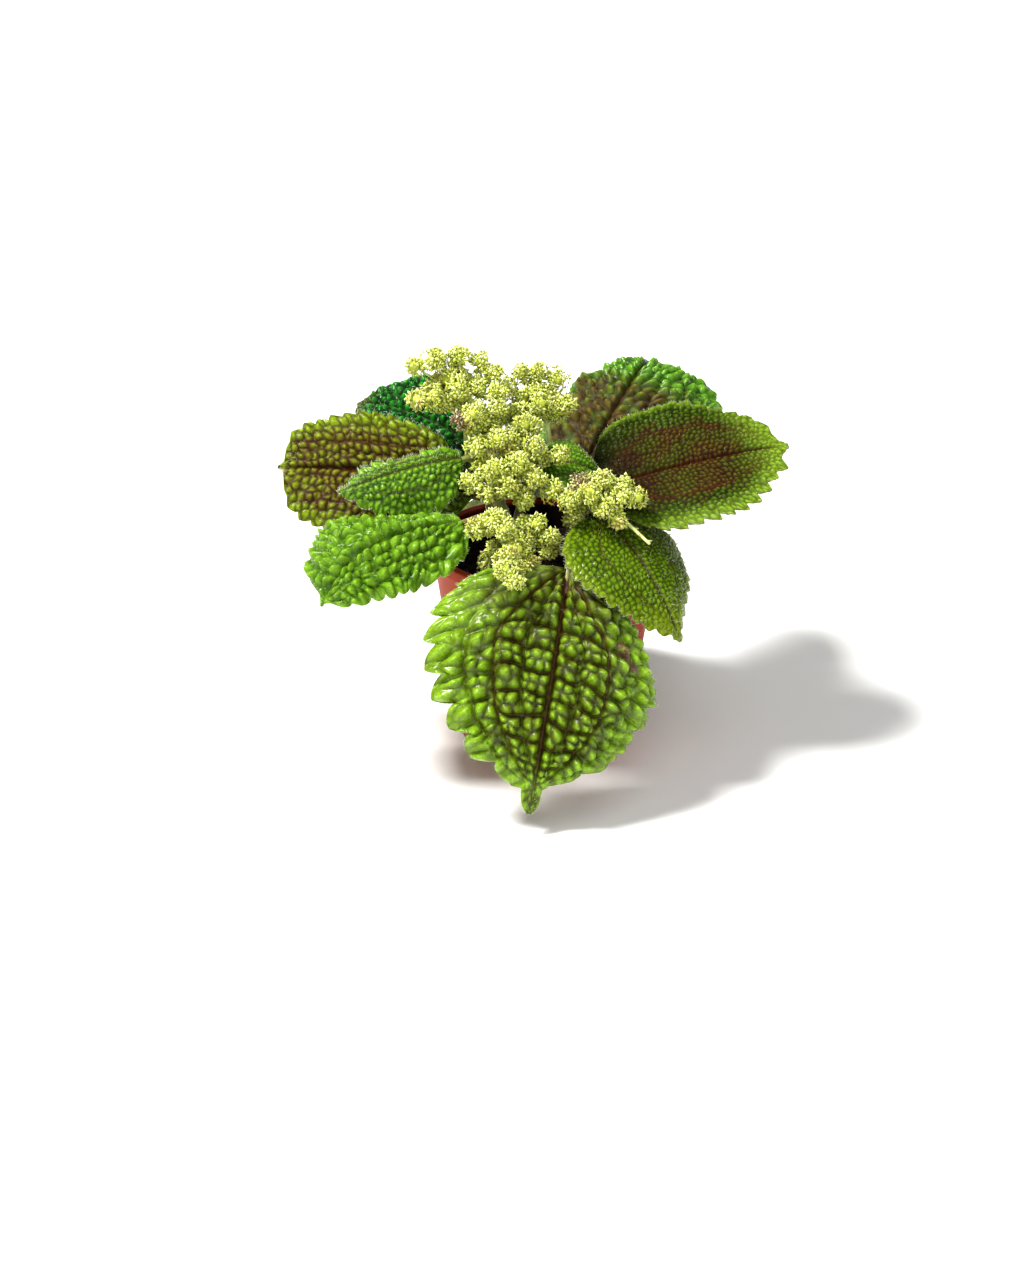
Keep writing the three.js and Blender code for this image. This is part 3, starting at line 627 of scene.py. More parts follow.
def makeLeaf(leaf, stem, skin, slot):
    length = np.linalg.norm(np.subtract(leaf["tip"], leaf["base"])) * leafForm["curved"]
    row, v, rows, cols = bladeGrid(leaf, length)
    edge = np.abs(v)
    u = np.minimum(row + leafForm["slant"] * edge * 4 * row * (1 - row), 1)
    bare, normal, reach, outward = bladeSkin(leaf, u, v)
    _, along, _, _ = ribFrame(leaf, u)
    height, dome, vein = quilting(leaf, row, v, reach, length)
    teeth = leaf["teeth"]
    last = 1 - leaf.get("drip", 0.02)
    tooth = toothing(leaf, row) * smooth(teeth.get("from", 0.8), 1.0, edge)
    tooth = tooth * smooth(0, 0.06, row) * (1 - smooth(last - 0.04, last, row))
    tooth = tooth * np.where(v < 0, teeth.get("left", 1), 1)
    ruffle = leaf.get("ruffle", 0.5) * edge**3 * np.sin(row * length / 2.9 + np.where(v < 0, 1.3, 0) + v)
    rimward = outward - normal * np.sum(outward * normal, -1, keepdims=True)
    skinPlace = bare + unit(rimward) * (tooth * teeth["out"])[..., None]
    skinPlace = skinPlace + along * (tooth * teeth["forward"])[..., None]
    skinPlace = skinPlace + normal * (ruffle * (1 - smooth(0.9, 1, row)))[..., None]
    edgeThin = 1 - 0.5 * smooth(0.9, 1.0, edge)
    top = skinPlace + normal * (height * edgeThin)[..., None]
    ridge = 0.5 * leafForm["ribRaised"] * vein
    depth = (leafForm["thickness"] - 0.75 * height) * edgeThin + ridge
    bottom = skinPlace - normal * depth[..., None]
    # Painted shade: near the blade's foot the colour is pulled towards the darker groove colour, for the
    # shade that falls there from the parts above.
    dome = dome * (1 - leaf.get("paintedBaseShade", 0) * (1 - smooth(0.0, 0.45, row + 0.1 * edge)))
    bronze = bronzeMask(leaf, row, v)
    limeFrom = np.where(v < 0, *leaf["limeFrom"])
    limeTip = leaf.get("limeTip", 1.2)
    margin = np.maximum(0.8 * smooth(limeFrom, 1.0, edge), smooth(0.965, 1.0, edge))
    margin = np.maximum(margin, 0.9 * smooth(limeTip - 0.15, limeTip + 0.15, row + 0.12 * edge))
    scar = np.zeros(row.shape)
    for atRow, atV, size in leaf.get("scars", []):
        gap = np.hypot((row - atRow) * length, (v - atV) * reach)
        scar = np.maximum(scar, 1 - smooth(size * 0.6, size, gap + 0.6 * ripple(row * 40, v * 9, 5)))
    shape = Shape("dome", "vein", "bronze", "margin", "scar", "under")
    masks = {"dome": dome, "vein": vein, "bronze": bronze, "margin": margin, "scar": scar}
    flat = {name: values.ravel() for name, values in masks.items()}
    shape.add(top.reshape(-1, 3), gridTriangles(rows, cols, False), **flat)
    coarse = (slice(None, None, 2), slice(None, None, 2))
    halved = {name: values[coarse].ravel() * 0.6 for name, values in masks.items()}
    shape.add(bottom[coarse].reshape(-1, 3), gridTriangles(rows // 2, cols // 2, True), under=0.8, **halved)
    above = rimLoop(rows, cols)
    below = rimLoop(rows // 2, cols // 2) + (rows + 1) * (cols + 1)
    t0, t1, t2 = above[0::2], above[1::2], np.roll(above[0::2], -1)
    b0, b1 = below, np.roll(below, -1)
    walls = np.vstack([np.stack(t, 1) for t in ((t1, t0, b0), (t2, t1, b1), (t1, b0, b1))])
    shape.triangles.append(walls)
    shape.slots.append(np.zeros(len(walls), int))
    addStalk(shape, leaf, stem)
    addHairs(shape, leaf, top, normal, outward, edge)
    dress(shape.build(leaf["name"], [skin, leafStalk, leafHair]), slot, leaf["node"])


def bronzeMask(leaf, row, v):
    share = np.zeros(row.shape)
    for patch in leaf.get("bronze", []):
        spread = np.abs(v) + 0.12 * ripple(row * 9, v * 5, 2)
        inside = 1 - smooth(patch["reach"] - 0.22, patch["reach"] + 0.12, spread)
        low, high = patch["rows"]
        ends = smooth(low - 0.1, low + 0.1, row) * (1 - smooth(high - 0.15, high + 0.1, row))
        share = np.maximum(share, patch["strength"] * inside * ends)
    return share


# The stalk leaves the stem, bends and runs on under the blade's foot.
def addStalk(shape, leaf, stem):
    start, out = stemExit(stem, leaf["leaves"], leaf["base"])
    place, along, _, up = ribFrame(leaf, np.array([0.0]))
    below = leafForm["ribSunk"] + (leafForm["thickness"] + leafForm["ribRaised"]) / 2
    foot = place[0] - up[0] * below
    end = foot - along[0] * leafForm["flare"]
    run = leafForm["straight"] * np.linalg.norm(end - start)
    bends = [start, start + out * run, end - along[0] * run, end]
    steps = np.linspace(0, 1, leafForm["stalkSteps"])
    places, ahead, _ = curvePlaces(bends, steps)
    shares = np.linspace(0, leafForm["underShare"], leafForm["underSteps"])
    under, underAhead, _, underUp = ribFrame(leaf, shares)
    under = under - underUp * (below + 0.75 * smooth(0, 0.1, shares))[:, None]
    places = np.vstack([places, under[1:]])
    ahead = np.vstack([ahead, underAhead[1:]])
    radii = leafForm["stalkFoot"] + (leafForm["stalkEnd"] - leafForm["stalkFoot"]) * steps**2
    radii = np.concatenate([radii, np.linspace(leafForm["stalkEnd"], leafForm["stalkTip"], len(shares) - 1)])
    shape.add(*tube(places, ahead, radii, leafForm["stalkSides"]), slot=1)


# Fine pale hairs: some all over the upper face, and more along the margin.
def addHairs(shape, leaf, top, normal, outward, edge):
    rng = np.random.default_rng(int(leaf["quilt"]["seed"]) + 100)
    hairs = leaf.get("hairs", usualHairs)
    flatTop, flatNormal, flatOut = (a.reshape(-1, 3) for a in (top, normal, outward))
    everywhere = rng.integers(0, len(flatTop), hairs["all"])
    atMargin = rng.choice(np.flatnonzero(edge.ravel() > 0.985), hairs["margin"])
    for picked, lean in ((everywhere, 0.2), (atMargin, 1.6)):
        count = len(picked)
        way = flatNormal[picked] + flatOut[picked] * lean + rng.normal(0, 0.35, (count, 3))
        length = hairs["length"] * rng.uniform(0.5, 1.2, count)
        feet = flatTop[picked] - flatNormal[picked] * 0.05
        tips = feet + unit(way) * length[:, None]
        shape.add(*spikes(feet, tips, leafForm["hairRadius"]), slot=2)


rightLeaf = {
    "name": "rightLeaf", "node": "leaf_right", "leaves": 60, "base": [12, -1, 61], "tip": [55, 5, 69.5],
    "face": [0.1, -0.32, 0.94], "arch": [2, 2], "blunt": 0.5, "limeFrom": [0.85, 0.66], "limeTip": 0.82,
    "right": {"half": 20.5, "peak": 0.85, "fold": 4, "rim": 2},
    "left": {"half": 23, "peak": 0.72, "fold": 8, "rim": -15},
    "teeth": {"count": 13, "out": 2.2, "forward": 1.3, "left": 0.6, "round": 0.15},
    "quilt": {"seed": 1.0, "puff": 0.4, "bead": 0.75, "cobble": 1.35, "rungs": 13, "lateral": 0.52,
              "ladder": 0.35, "net": 0.3, "veinShow": 0.85, "soft": 0.05},
    # painted shade towards the blade's foot
    "paintedBaseShade": 0.85,
    "bronze": [{"reach": 0.66, "rows": [0.1, 0.82], "strength": 0.95}],
    "hairs": {"all": 60, "margin": 400, "length": 0.7},
}
backRightLeaf = {
    "name": "backRightLeaf", "node": "leaf_back_right", "leaves": 65, "base": [10, 14.5, 62.5],
    "tip": [26.5, 57, 71.5], "face": [0.15, -0.5, 0.85], "arch": [8, 12.5], "blunt": 0.5,
    "limeFrom": [0.7, 0.7],
    "right": {"half": 24, "peak": 1, "fold": 5, "rim": -12},
    "left": {"half": 15.5, "peak": 0.42, "fold": -12, "rim": -45},
    "teeth": {"count": 12, "out": 1.5, "forward": 0.8}, "ruffle": 1.0,
    "quilt": {"seed": 2.0, "puff": 0.9, "bead": 1.6, "cobble": 3.1, "rungs": 10, "lateral": 0.55,
              "ladder": 0.6, "net": 0.1, "soft": 0.2, "rounded": 0.5, "veinShow": 0.8, "split": 0.2},
    "bronze": [{"reach": 0.95, "rows": [-0.2, 0.52], "strength": 1.25}],
    "hairs": {"all": 100, "margin": 500, "length": 0.8},
}
frontLeaf = {
    "name": "frontLeaf", "node": "leaf_front", "leaves": 49, "base": [4.6, -26, 52.4],
    "tip": [-4, -52, 5.5],
    "face": [0.05, -0.86, 0.5], "arch": [9, 5], "blunt": 0.5, "drip": 0.12, "limeFrom": [0.58, 0.62],
    "step": 0.25,
    "right": {"half": 27, "peak": 0.69, "fold": 5, "rim": -18},
    "left": {"half": 24.5, "peak": 1.05, "fold": 6, "rim": -48},
    "teeth": {"count": 9, "out": 3.7, "forward": 1.9, "round": 0.6, "left": 0.5, "from": 0.76},
    "quilt": {"seed": 3.0, "puff": 2.1, "bead": 1.8, "cobble": 2.4, "lines": 2, "outerCobble": 3.2,
              "rounded": 0.5, "outerFlat": 0.3, "rungs": 11, "ladder": 0.9, "split": 0.45, "net": 0.0,
              "shoulder": 2.0, "soft": 0.2, "outerRungs": 0.2, "rungWide": 0.46, "lean": [0.12, -0.12],
              "calm": 0.45},
    "hairs": {"all": 250, "margin": 600, "length": 0.7},
    "bronze": [{"reach": 0.8, "rows": [-0.2, 0.22], "strength": 0.75},
               {"reach": 0.62, "rows": [-0.2, 0.8], "strength": 0.5}],
    "scars": [[0.26, -0.66, 2.4], [0.31, -0.73, 1.8]],
}
frontRightLeaf = {
    "name": "frontRightLeaf", "node": "leaf_front_right", "leaves": 52.5, "base": [12, -11.2, 59.3],
    "tip": [29.5, -31, 37], "face": [0.35, -0.55, 0.8], "arch": [5, 5], "blunt": 0.7,
    "limeFrom": [0.8, 0.8],
    "limeTip": 0.8,
    "right": {"half": 17, "peak": 0.62, "fold": 10, "rim": -10},
    "left": {"half": 19.5, "peak": 0.55, "fold": -9, "rim": -45},
    "teeth": {"count": 12, "out": 1.2, "forward": 0.7},
    "quilt": {"seed": 4.0, "puff": 0.3, "bead": 0.42, "cobble": 1.3, "rungs": 10, "ladder": 0.4,
              "net": 0.25},
    "bronze": [{"reach": 0.5, "rows": [-0.2, 0.15], "strength": 0.5}],
    "hairs": {"all": 700, "margin": 900, "length": 1.1},
}
youngRightLeaf = {
    "name": "youngRightLeaf", "node": "leaf_young_right", "leaves": 66.5, "base": [-2, -3, 68.6],
    "tip": [13, -1, 64], "face": [0.2, -0.5, 0.85], "arch": [3, 4], "blunt": 0.6, "limeFrom": [0.6, 0.6],
    "right": {"half": 7.5, "peak": 0.8, "fold": 5, "rim": -25},
    "left": {"half": 7.5, "peak": 0.7, "fold": 5, "rim": -35},
    "teeth": {"count": 7, "out": 0.7, "forward": 0.4}, "step": 0.2, "ruffle": 0.2,
    "quilt": {"seed": 5.0, "puff": 0.15, "bead": 0.35, "cobble": 1.0, "rungs": 8, "ladder": 0.4,
              "net": 0.15},
    # painted shade towards the blade's foot
    "paintedBaseShade": 0.6,
    "hairs": {"all": 200, "margin": 200, "length": 0.7},
}
lowRightLeaf = {
    "name": "lowRightLeaf", "node": "leaf_low_right", "leaves": 53, "base": [14, 13, 53],
    "tip": [42, 34, 49],
    "face": [0.3, 0.2, 0.9], "arch": [3, 3], "blunt": 0.6, "limeFrom": [0.75, 0.75], "step": 0.36,
    "right": {"half": 13, "peak": 0.75, "fold": 5, "rim": -15},
    "left": {"half": 13, "peak": 0.75, "fold": 5, "rim": -15},
    "teeth": {"count": 10, "out": 1.3, "forward": 0.8},
    "quilt": {"seed": 6.0, "puff": 0.5, "bead": 0.5, "cobble": 1.7, "rungs": 10, "ladder": 0.7},
    "bronze": [{"reach": 0.5, "rows": [0.0, 0.7], "strength": 0.5}],
}
leftLeaf = {
    "name": "leftLeaf", "node": "leaf_left", "leaves": 60, "base": [-21, 5, 62], "tip": [-61, 4, 64.5],
    "face": [0.05, -0.8, 0.6], "arch": [2, 3], "blunt": 0.3, "limeFrom": [0.55, 0.55],
    "right": {"half": 13, "peak": 1.05, "fold": 4, "rim": -8},
    "left": {"half": 15, "peak": 1.2, "fold": 4, "rim": -6},
    "teeth": {"count": 12, "out": 1.1, "forward": 0.6},
    "quilt": {"seed": 7.0, "puff": 0.5, "bead": 1.0, "cobble": 2.0, "rungs": 11, "ladder": 0.6,
              "net": 0.6, "soft": 0.05},
    "bronze": [{"reach": 0.8, "rows": [0.1, 0.95], "strength": 0.8}],
}
backLeftLeaf = {
    "name": "backLeftLeaf", "node": "leaf_back_left", "leaves": 65, "base": [-16.5, 15, 65.5],
    "tip": [-44.5, 34, 69], "face": [-0.1, -0.4, 0.9], "arch": [5, 5], "blunt": 0.36,
    "limeFrom": [0.8, 0.8],
    "right": {"half": 13.5, "peak": 1, "fold": 5, "rim": -15},
    "left": {"half": 9, "peak": 0.8, "fold": 5, "rim": -10},
    "teeth": {"count": 10, "out": 1.1, "forward": 0.6},
    "quilt": {"seed": 8.0, "puff": 0.3, "bead": 1.5, "soft": 0.0, "cobble": 2.4, "rungs": 9,
              "ladder": 0.3, "net": 0.1, "rounded": 0.7, "veinShow": 0.6, "split": 0.1},
    "bronze": [{"reach": 1.3, "rows": [0.9, 1.3], "strength": 0.9}],
}
youngLeftLeaf = {
    "name": "youngLeftLeaf", "node": "leaf_young_left", "leaves": 66, "base": [-19, -1, 69],
    "tip": [-46.5, -10, 64], "face": [0, -0.5, 0.85], "arch": [2, 2], "blunt": 0.6,
    "limeFrom": [0.7, 0.7],
    "right": {"half": 3.5, "peak": 0.8, "fold": 0, "rim": -20},
    "left": {"half": 10.8, "peak": 0.75, "fold": -20, "rim": -60},
    "teeth": {"count": 8, "out": 1.7, "forward": 0.5, "round": 0.6}, "step": 0.22, "ruffle": 0.7,
    "quilt": {"seed": 9.0, "puff": 0.25, "bead": 0.8, "cobble": 1.6, "rungs": 10, "ladder": 0.5,
              "net": 0.1},
    "hairs": {"all": 500, "margin": 700, "length": 0.9},
}
frontLeftLeaf = {
    "name": "frontLeftLeaf", "node": "leaf_front_left", "leaves": 54, "base": [-19, -12.5, 58.5],
    "tip": [-49.5, -31, 45.5], "face": [-0.5, -0.42, 0.76], "arch": [4, 14], "blunt": 0.35,
    "limeFrom": [0.8, 0.8],
    "right": {"half": 21.2, "peak": 2, "fold": 2, "rim": -36},
    "left": {"half": 13, "peak": 1, "fold": -20, "rim": -55},
    "teeth": {"count": 9, "out": 1.45, "forward": 0.5, "round": 0.9},
    "quilt": {"seed": 10.0, "puff": 1.2, "bead": 1.7, "cobble": 2.9, "rungs": 8, "ladder": 0.6,
              "net": 0.0, "veinShow": 0.3, "soft": 0.3, "rounded": 0.35, "split": 0.15},
    "ruffle": 1.0,
}
lowLeftLeaf = {
    "name": "lowLeftLeaf", "node": "leaf_low_left", "leaves": 53, "base": [-16.5, 9.5, 56],
    "tip": [-44, 29, 50],
    "face": [-0.25, -0.3, 0.85], "arch": [3, 3], "blunt": 0.6, "limeFrom": [0.75, 0.75], "step": 0.36,
    "right": {"half": 13, "peak": 0.75, "fold": 5, "rim": -15},
    "left": {"half": 15.5, "peak": 0.55, "fold": 0, "rim": -15},
    "teeth": {"count": 10, "out": 1.3, "forward": 0.8},
    "quilt": {"seed": 11.0, "puff": 0.5, "bead": 0.5, "cobble": 1.7, "rungs": 10, "ladder": 0.7},
    "bronze": [{"reach": 0.5, "rows": [0.0, 0.7], "strength": 0.5}],
}
backLeaf = {
    "name": "backLeaf", "node": "leaf_back", "leaves": 49, "base": [-3, 25, 52], "tip": [2, 47, 18],
    "face": [0, 0.7, 0.7], "arch": [5, 5], "blunt": 0.5, "limeFrom": [0.75, 0.75], "step": 0.36,
    "right": {"half": 19, "peak": 0.8, "fold": 5, "rim": -20},
    "left": {"half": 19, "peak": 0.8, "fold": 5, "rim": -20},
    "teeth": {"count": 10, "out": 1.8, "forward": 1.0},
    "quilt": {"seed": 12.0, "puff": 0.7, "bead": 0.6, "cobble": 2.1, "rungs": 11, "lateral": 0.55,
              "ladder": 0.85, "net": 0.15},
    "bronze": [{"reach": 0.4, "rows": [-0.2, 0.3], "strength": 0.7}],
}

leaves = [
    (rightLeaf, rightStem, bronzeSkin, "bronze_leaf"), (backRightLeaf, rightStem, crestSkin, "fresh_leaf"),
    (frontLeaf, rightStem, brightSkin, "fresh_leaf"), (frontRightLeaf, rightStem, limeSkin, "fresh_leaf"),
    (youngRightLeaf, rightStem, freshSkin, "fresh_leaf"), (lowRightLeaf, rightStem, brightSkin, "fresh_leaf"),
    (leftLeaf, leftStem, oliveSkin, "bronze_leaf"), (backLeftLeaf, leftStem, deepSkin, "dark_leaf"),
    (youngLeftLeaf, leftStem, freshSkin, "fresh_leaf"), (frontLeftLeaf, leftStem, freshSkin, "fresh_leaf"),
    (lowLeftLeaf, leftStem, brightSkin, "fresh_leaf"), (backLeaf, leftStem, brightSkin, "fresh_leaf"),
]
for leaf, stem, skin, slot in leaves:
    makeLeaf(leaf, stem, skin, slot)
print("leaves done")

# flower heads

floretForm = {"perKnot": 21, "spread": 2.35, "reach": 1.4, "width": 0.32, "tepals": 5, "bud": 0.26,
              "thickness": 0.12, "core": 1.35, "coreSteps": 6, "twig": [0.16, 0.13, 0.12], "shrunk": 0.8}
bareForm = {"radii": [0.55, 0.35], "rise": 1.5, "sides": 8, "stubs": [8, 19, 2], "stub": [0.2, 0.15, 0.17],
            "stubLength": 1.3}
headForm = {"radius": 0.8, "forkRadius": 0.62, "branchRadius": 0.4, "endRadius": 0.2, "branches": 11,
            "tries": 31, "stride": 12, "forkAt": 0.5, "arch": 0.12, "polarCap": 0.95, "knots": [0.6, 0.93],
            "tip": 2.8, "vary": 0.4, "room": 0.5, "apart": 3.9, "fromHeads": 5.6, "stalkSteps": 24,
            "branchSteps": 20}


def floretMaterial():
    soft = {"Roughness": 0.6, "Specular IOR Level": 0.15, "Subsurface Weight": 0.6,
            "Subsurface Radius": [1.0, 1.0, 0.4], "Subsurface Scale": 1.5 * mm}
    material, tree, shader = newMaterial("floretSkin", None, soft)
    tint = mask(tree, "tint")
    inner = mask(tree, "inner")
    pale = mixColour(tree, tint, rgb(205, 214, 86), rgb(193, 207, 70))
    warm = mixColour(tree, ramp(tree, noise(tree, 160, 2), 0.58, 0.72), pale, rgb(208, 194, 84))
    # Painted shade: the core and the florets near each knot's middle take a slightly darker, greyer colour,
    # for the shade inside the knot.
    deep = mixColour(tree, inner, warm, rgb(192, 201, 88))
    dead = mixColour(tree, mask(tree, "withered"), deep, rgb(128, 104, 78))
    tree.links.new(dead, shader.inputs["Base Color"])
    return material


def flowerStalkMaterial():
    material, tree, shader = newMaterial("flowerStalk", leafGrain, {"Roughness": 0.45})
    patches = ramp(tree, noise(tree, 200, 2), 0.4, 0.6)
    colour = mixColour(tree, patches, rgb(206, 212, 142), rgb(170, 184, 100))
    tree.links.new(colour, shader.inputs["Base Color"])
    return material


floretSkin = floretMaterial()
flowerStalk = flowerStalkMaterial()

leafSkins = np.concatenate([
    bladeSkin(leaf, *np.meshgrid(np.arange(0, 0.96, 0.05), np.arange(-1, 1.0001, 0.125)))[0].reshape(-1, 3)
    for leaf, *_ in leaves])
otherKnots = []


def isApart(place, others, gap):
    return len(others) == 0 or np.linalg.norm(np.array(others) - place, axis=1).min() > gap


def isClear(place, knots):
    reach = headForm["tip"] + headForm["vary"] + headForm["room"]
    inside = math.hypot(place[0], place[1]) < potInsideRadius(potForm["height"]) - reach
    return ((inside or place[2] > potForm["height"] + reach)
            and place[2] > soilForm["level"] + soilForm["crown"] + reach
            and isApart(place, leafSkins, reach)
            and isApart(place, knots, headForm["apart"])
            and isApart(place, otherKnots, headForm["fromHeads"]))


# The head's branches, each as the points that it bends through, with the places of its knots.
def headBranches(head, stem):
    numbers = solidRandom(head["seed"])
    middle = np.array(head["middle"], float)
    start, out = stemExit(stem, head["leaves"], middle)
    fork = start + (middle - start) * headForm["forkAt"]
    rise = start + out * headForm["arch"] * np.linalg.norm(middle - start)
    branches = []
    knots = []
    for k in range(headForm["tries"]):
        if len(knots) >= headForm["branches"] * len(headForm["knots"]):
            break
        share = ((k * headForm["stride"]) % headForm["tries"] + 0.5) / headForm["tries"]
        height = headForm["polarCap"] * (1 - 2 * share)
        turn = share * headForm["tries"] * goldenAngle
        level = math.sqrt(1 - height * height)
        way = np.array([level * math.cos(turn), level * math.sin(turn), height]) * head["spread"]
        end = middle + way
        bend = (fork + end) / 2
        bend[2] += headForm["arch"] * np.linalg.norm(end - fork)
        places = curvePlaces([fork, bend, end], headForm["knots"])[0]
        tips = [headForm["tip"] + headForm["vary"] * (2 * next(numbers) - 1) for _ in places]
        if isClear(places[-1], knots) and all(isApart(p, leafSkins, headForm["tip"]) for p in places):
            branches.append(([fork, bend, end], list(zip(places, tips))))
            knots.extend(places)
    for end in np.array(head.get("fillers", [])).reshape(-1, 3):
        bend = (fork + end) / 2
        bend[2] += headForm["arch"] * np.linalg.norm(end - fork)
        branches.append(([fork, bend, end], [(end, headForm["tip"])]))
    otherKnots.extend(knots)
    return [start, rise, fork], branches


# Florets at places, facing ways: a star of pointed tepals, each a thin closed blade, round a small bud.
def addFlorets(shape, places, ways, sizes, rng, **masks):
    count = len(places)
    ways = unit(ways)
    helper = np.where(np.abs(ways[:, 2:]) < 0.8, [[0, 0, 1.0]], [[1.0, 0, 0]])
    across = unit(np.cross(ways, helper))
    upward = np.cross(ways, across)
    spin = rng.uniform(0, 2 * math.pi, count)
    reach = floretForm["reach"] * sizes
    for k in range(floretForm["tepals"]):
        turn = spin + 2 * math.pi * k / floretForm["tepals"] + rng.normal(0, 0.12, count)
        out = np.cos(turn)[:, None] * across + np.sin(turn)[:, None] * upward
        side = np.cross(ways, out)
        lift = rng.uniform(0.1, 0.45, count)[:, None]
        length = (reach * rng.uniform(0.85, 1.15, count))[:, None]
        foot = places + out * length * 0.1
        tip = places + out * length + ways * length * lift
        wide = length * floretForm["width"]
        middle = places + out * length * 0.5 + ways * length * lift * 0.25
        ridge = middle + ways * floretForm["thickness"]
        points = np.stack([foot, middle + side * wide, tip, middle - side * wide, ridge], 1).reshape(-1, 3)
        triangles = copies([[1, 0, 4], [2, 1, 4], [3, 2, 4], [0, 3, 4], [0, 1, 3], [1, 2, 3]], 5, count)
        shape.add(points, triangles, **{name: np.repeat(value, 5) for name, value in masks.items()})
    size = (floretForm["bud"] * sizes)[:, None]
    centre = places + ways * size * 0.6
    corners = [centre + way * size for way in (across, upward, -across, -upward, ways * 1.2, -ways)]
    points = np.stack(corners, 1).reshape(-1, 3)
    pattern = [[0, 1, 4], [1, 2, 4], [2, 3, 4], [3, 0, 4], [1, 0, 5], [2, 1, 5], [3, 2, 5], [0, 3, 5]]
    triangles = copies(pattern, 6, count)
    shape.add(points, triangles, **{name: np.repeat(value, 6) for name, value in masks.items()})


# A tapering stalk through bends, with its places and the ways that it runs there.
def addBranch(shape, bends, radii, steps, sides):
    places, ahead, _ = curvePlaces(bends, np.linspace(0, 1, steps))
    shape.add(*tube(places, ahead, np.linspace(*radii, steps), sides), slot=1)
    return places, ahead


def addTwig(shape, start, end, radii, sides):
    ways = np.repeat(unit(end - start)[None], len(radii), 0)
    shape.add(*tube(np.linspace(start, end, len(radii)), ways, radii, sides), slot=1)


# A ball of florets on short stalks round a core. gone is 1 where it has withered.
def addKnot(shape, place, scale, gone, rng):
    count = floretForm["perKnot"]
    order = np.arange(count) + rng.uniform(-0.3, 0.3, count)
    high = 1 - 2 * (order + 0.5) / count
    turn = order * goldenAngle
    level = np.sqrt(np.clip(1 - high * high, 0, 1))
    ways = np.stack([level * np.cos(turn), level * np.sin(turn), high], 1)
    far = scale * floretForm["spread"] * rng.uniform(0.45, 1, count) ** 0.6
    spots = place + ways * far[:, None]
    # inner: how far each floret takes the painted shade of the knot's inside.
    inner = 0.7 * (1 - smooth(0.5, 0.85, far / floretForm["spread"]))
    sizes = rng.uniform(0.8, 1.15, count) * (floretForm["shrunk"] if gone else 1)
    tint = rng.uniform(0, 1, count)
    faces = ways + rng.normal(0, 0.2, ways.shape)
    core = np.linspace(-1, 1, floretForm["coreSteps"])
    line = place + np.outer(core, ways[5]) * floretForm["core"]
    girths = floretForm["core"] * np.sqrt(np.maximum(1 - core * core, 0.01))
    ahead = np.repeat(ways[5:6], len(core), 0)
    shape.add(*tube(line, ahead, girths, 6), inner=1.0, withered=gone)
    addFlorets(shape, spots, faces, sizes, rng, tint=tint, inner=inner, withered=np.full(count, gone))
    for spot in spots[::3]:
        addTwig(shape, place, spot, floretForm["twig"], 4)


# The bare end of a branch, with the short stalks that its florets have left.
def addBareEnd(shape, fork, end):
    bends = [fork, (fork + np.array(end)) / 2 + [0, 0, bareForm["rise"]], end]
    places, ahead = addBranch(shape, bends, bareForm["radii"], headForm["branchSteps"], bareForm["sides"])
    for k in range(*bareForm["stubs"]):
        way = unit(np.cross(ahead[k], [0.3, 0.2, 1.0]) * (-1) ** (k // 2) + ahead[k] * 0.6 + [0, 0, 0.4])
        addTwig(shape, places[k], places[k] + way * bareForm["stubLength"], bareForm["stub"], 5)


def makeHead(head, stem):
    rng = np.random.default_rng(head["seed"])
    stalk, branches = headBranches(head, stem)
    shape = Shape("tint", "inner", "withered")
    addBranch(shape, stalk, [headForm["radius"], headForm["forkRadius"]], headForm["stalkSteps"], 10)
    everyKnot = np.array([place for _, knots in branches for place, _ in knots])
    away = np.linalg.norm(everyKnot - head.get("withered", [0, 0, -99]), axis=1)
    dead = everyKnot[away.argmin()] if "withered" in head else None
    for bends, knots in branches:
        addBranch(shape, bends, [headForm["branchRadius"], headForm["endRadius"]], headForm["branchSteps"], 7)
        for place, tip in knots:
            addKnot(shape, place, tip / headForm["tip"], 1.0 if np.array_equal(place, dead) else 0.0, rng)
    for end in head.get("bareEnds", []):
        addBareEnd(shape, stalk[-1], end)
    dress(shape.build(head["name"], [floretSkin, flowerStalk]), "flowers", head["node"])


topLeftFlowers = {"name": "topLeftFlowers", "node": "flowers_top_left", "leaves": 66.5, "seed": 3,
                  "middle": [-21.5, 8, 83.5], "spread": [11, 6, 7.5]}
topRightFlowers = {"name": "topRightFlowers", "node": "flowers_top_right", "leaves": 67, "seed": 8,
                   "middle": [-3, 9, 79], "spread": [9, 6, 7.5]}
middleFlowers = {"name": "middleFlowers", "node": "flowers_middle", "leaves": 66, "seed": 21,
                 "middle": [-12, -2, 74], "spread": [10, 5, 7.5], "withered": [-19, -3, 76],
                 "fillers": [[-5, -3, 77.3], [-11, 2.5, 82.6], [-5.5, -1, 73], [-8.5, -5, 74.5]]}
frontFlowers = {"name": "frontFlowers", "node": "flowers_front", "leaves": 62, "seed": 40,
                "middle": [-4, -10, 67.5], "spread": [12.5, 5, 7.5],
                "fillers": [[-14.5, -8, 68.3], [-17, -9, 65.9], [-13, -8.5, 66.8]]}
rightFlowers = {"name": "rightFlowers", "node": "flowers_right", "leaves": 58.2, "seed": 34,
                "middle": [11, -16, 62.5], "spread": [10.5, 4, 7], "withered": [9, -12, 68],
                "bareEnds": [[22.4, -23, 57]]}
lowFlowers = {"name": "lowFlowers", "node": "flowers_low", "leaves": 51, "seed": 55,
              "middle": [-8, -20.5, 54.5], "spread": [10, 5, 8.5],
              "fillers": [[-9.5, -26, 54], [-5.5, -27.3, 52.6], [-9.2, -34.6, 55.6], [-7.1, -36.6, 54.5],
                          [-8.3, -30.3, 57.2]]}

heads = [(topLeftFlowers, leftStem), (topRightFlowers, rightStem), (middleFlowers, leftStem),
         (frontFlowers, leftStem), (rightFlowers, rightStem), (lowFlowers, leftStem)]
for head, stem in heads:
    makeHead(head, stem)
print("flower heads done")

# pot

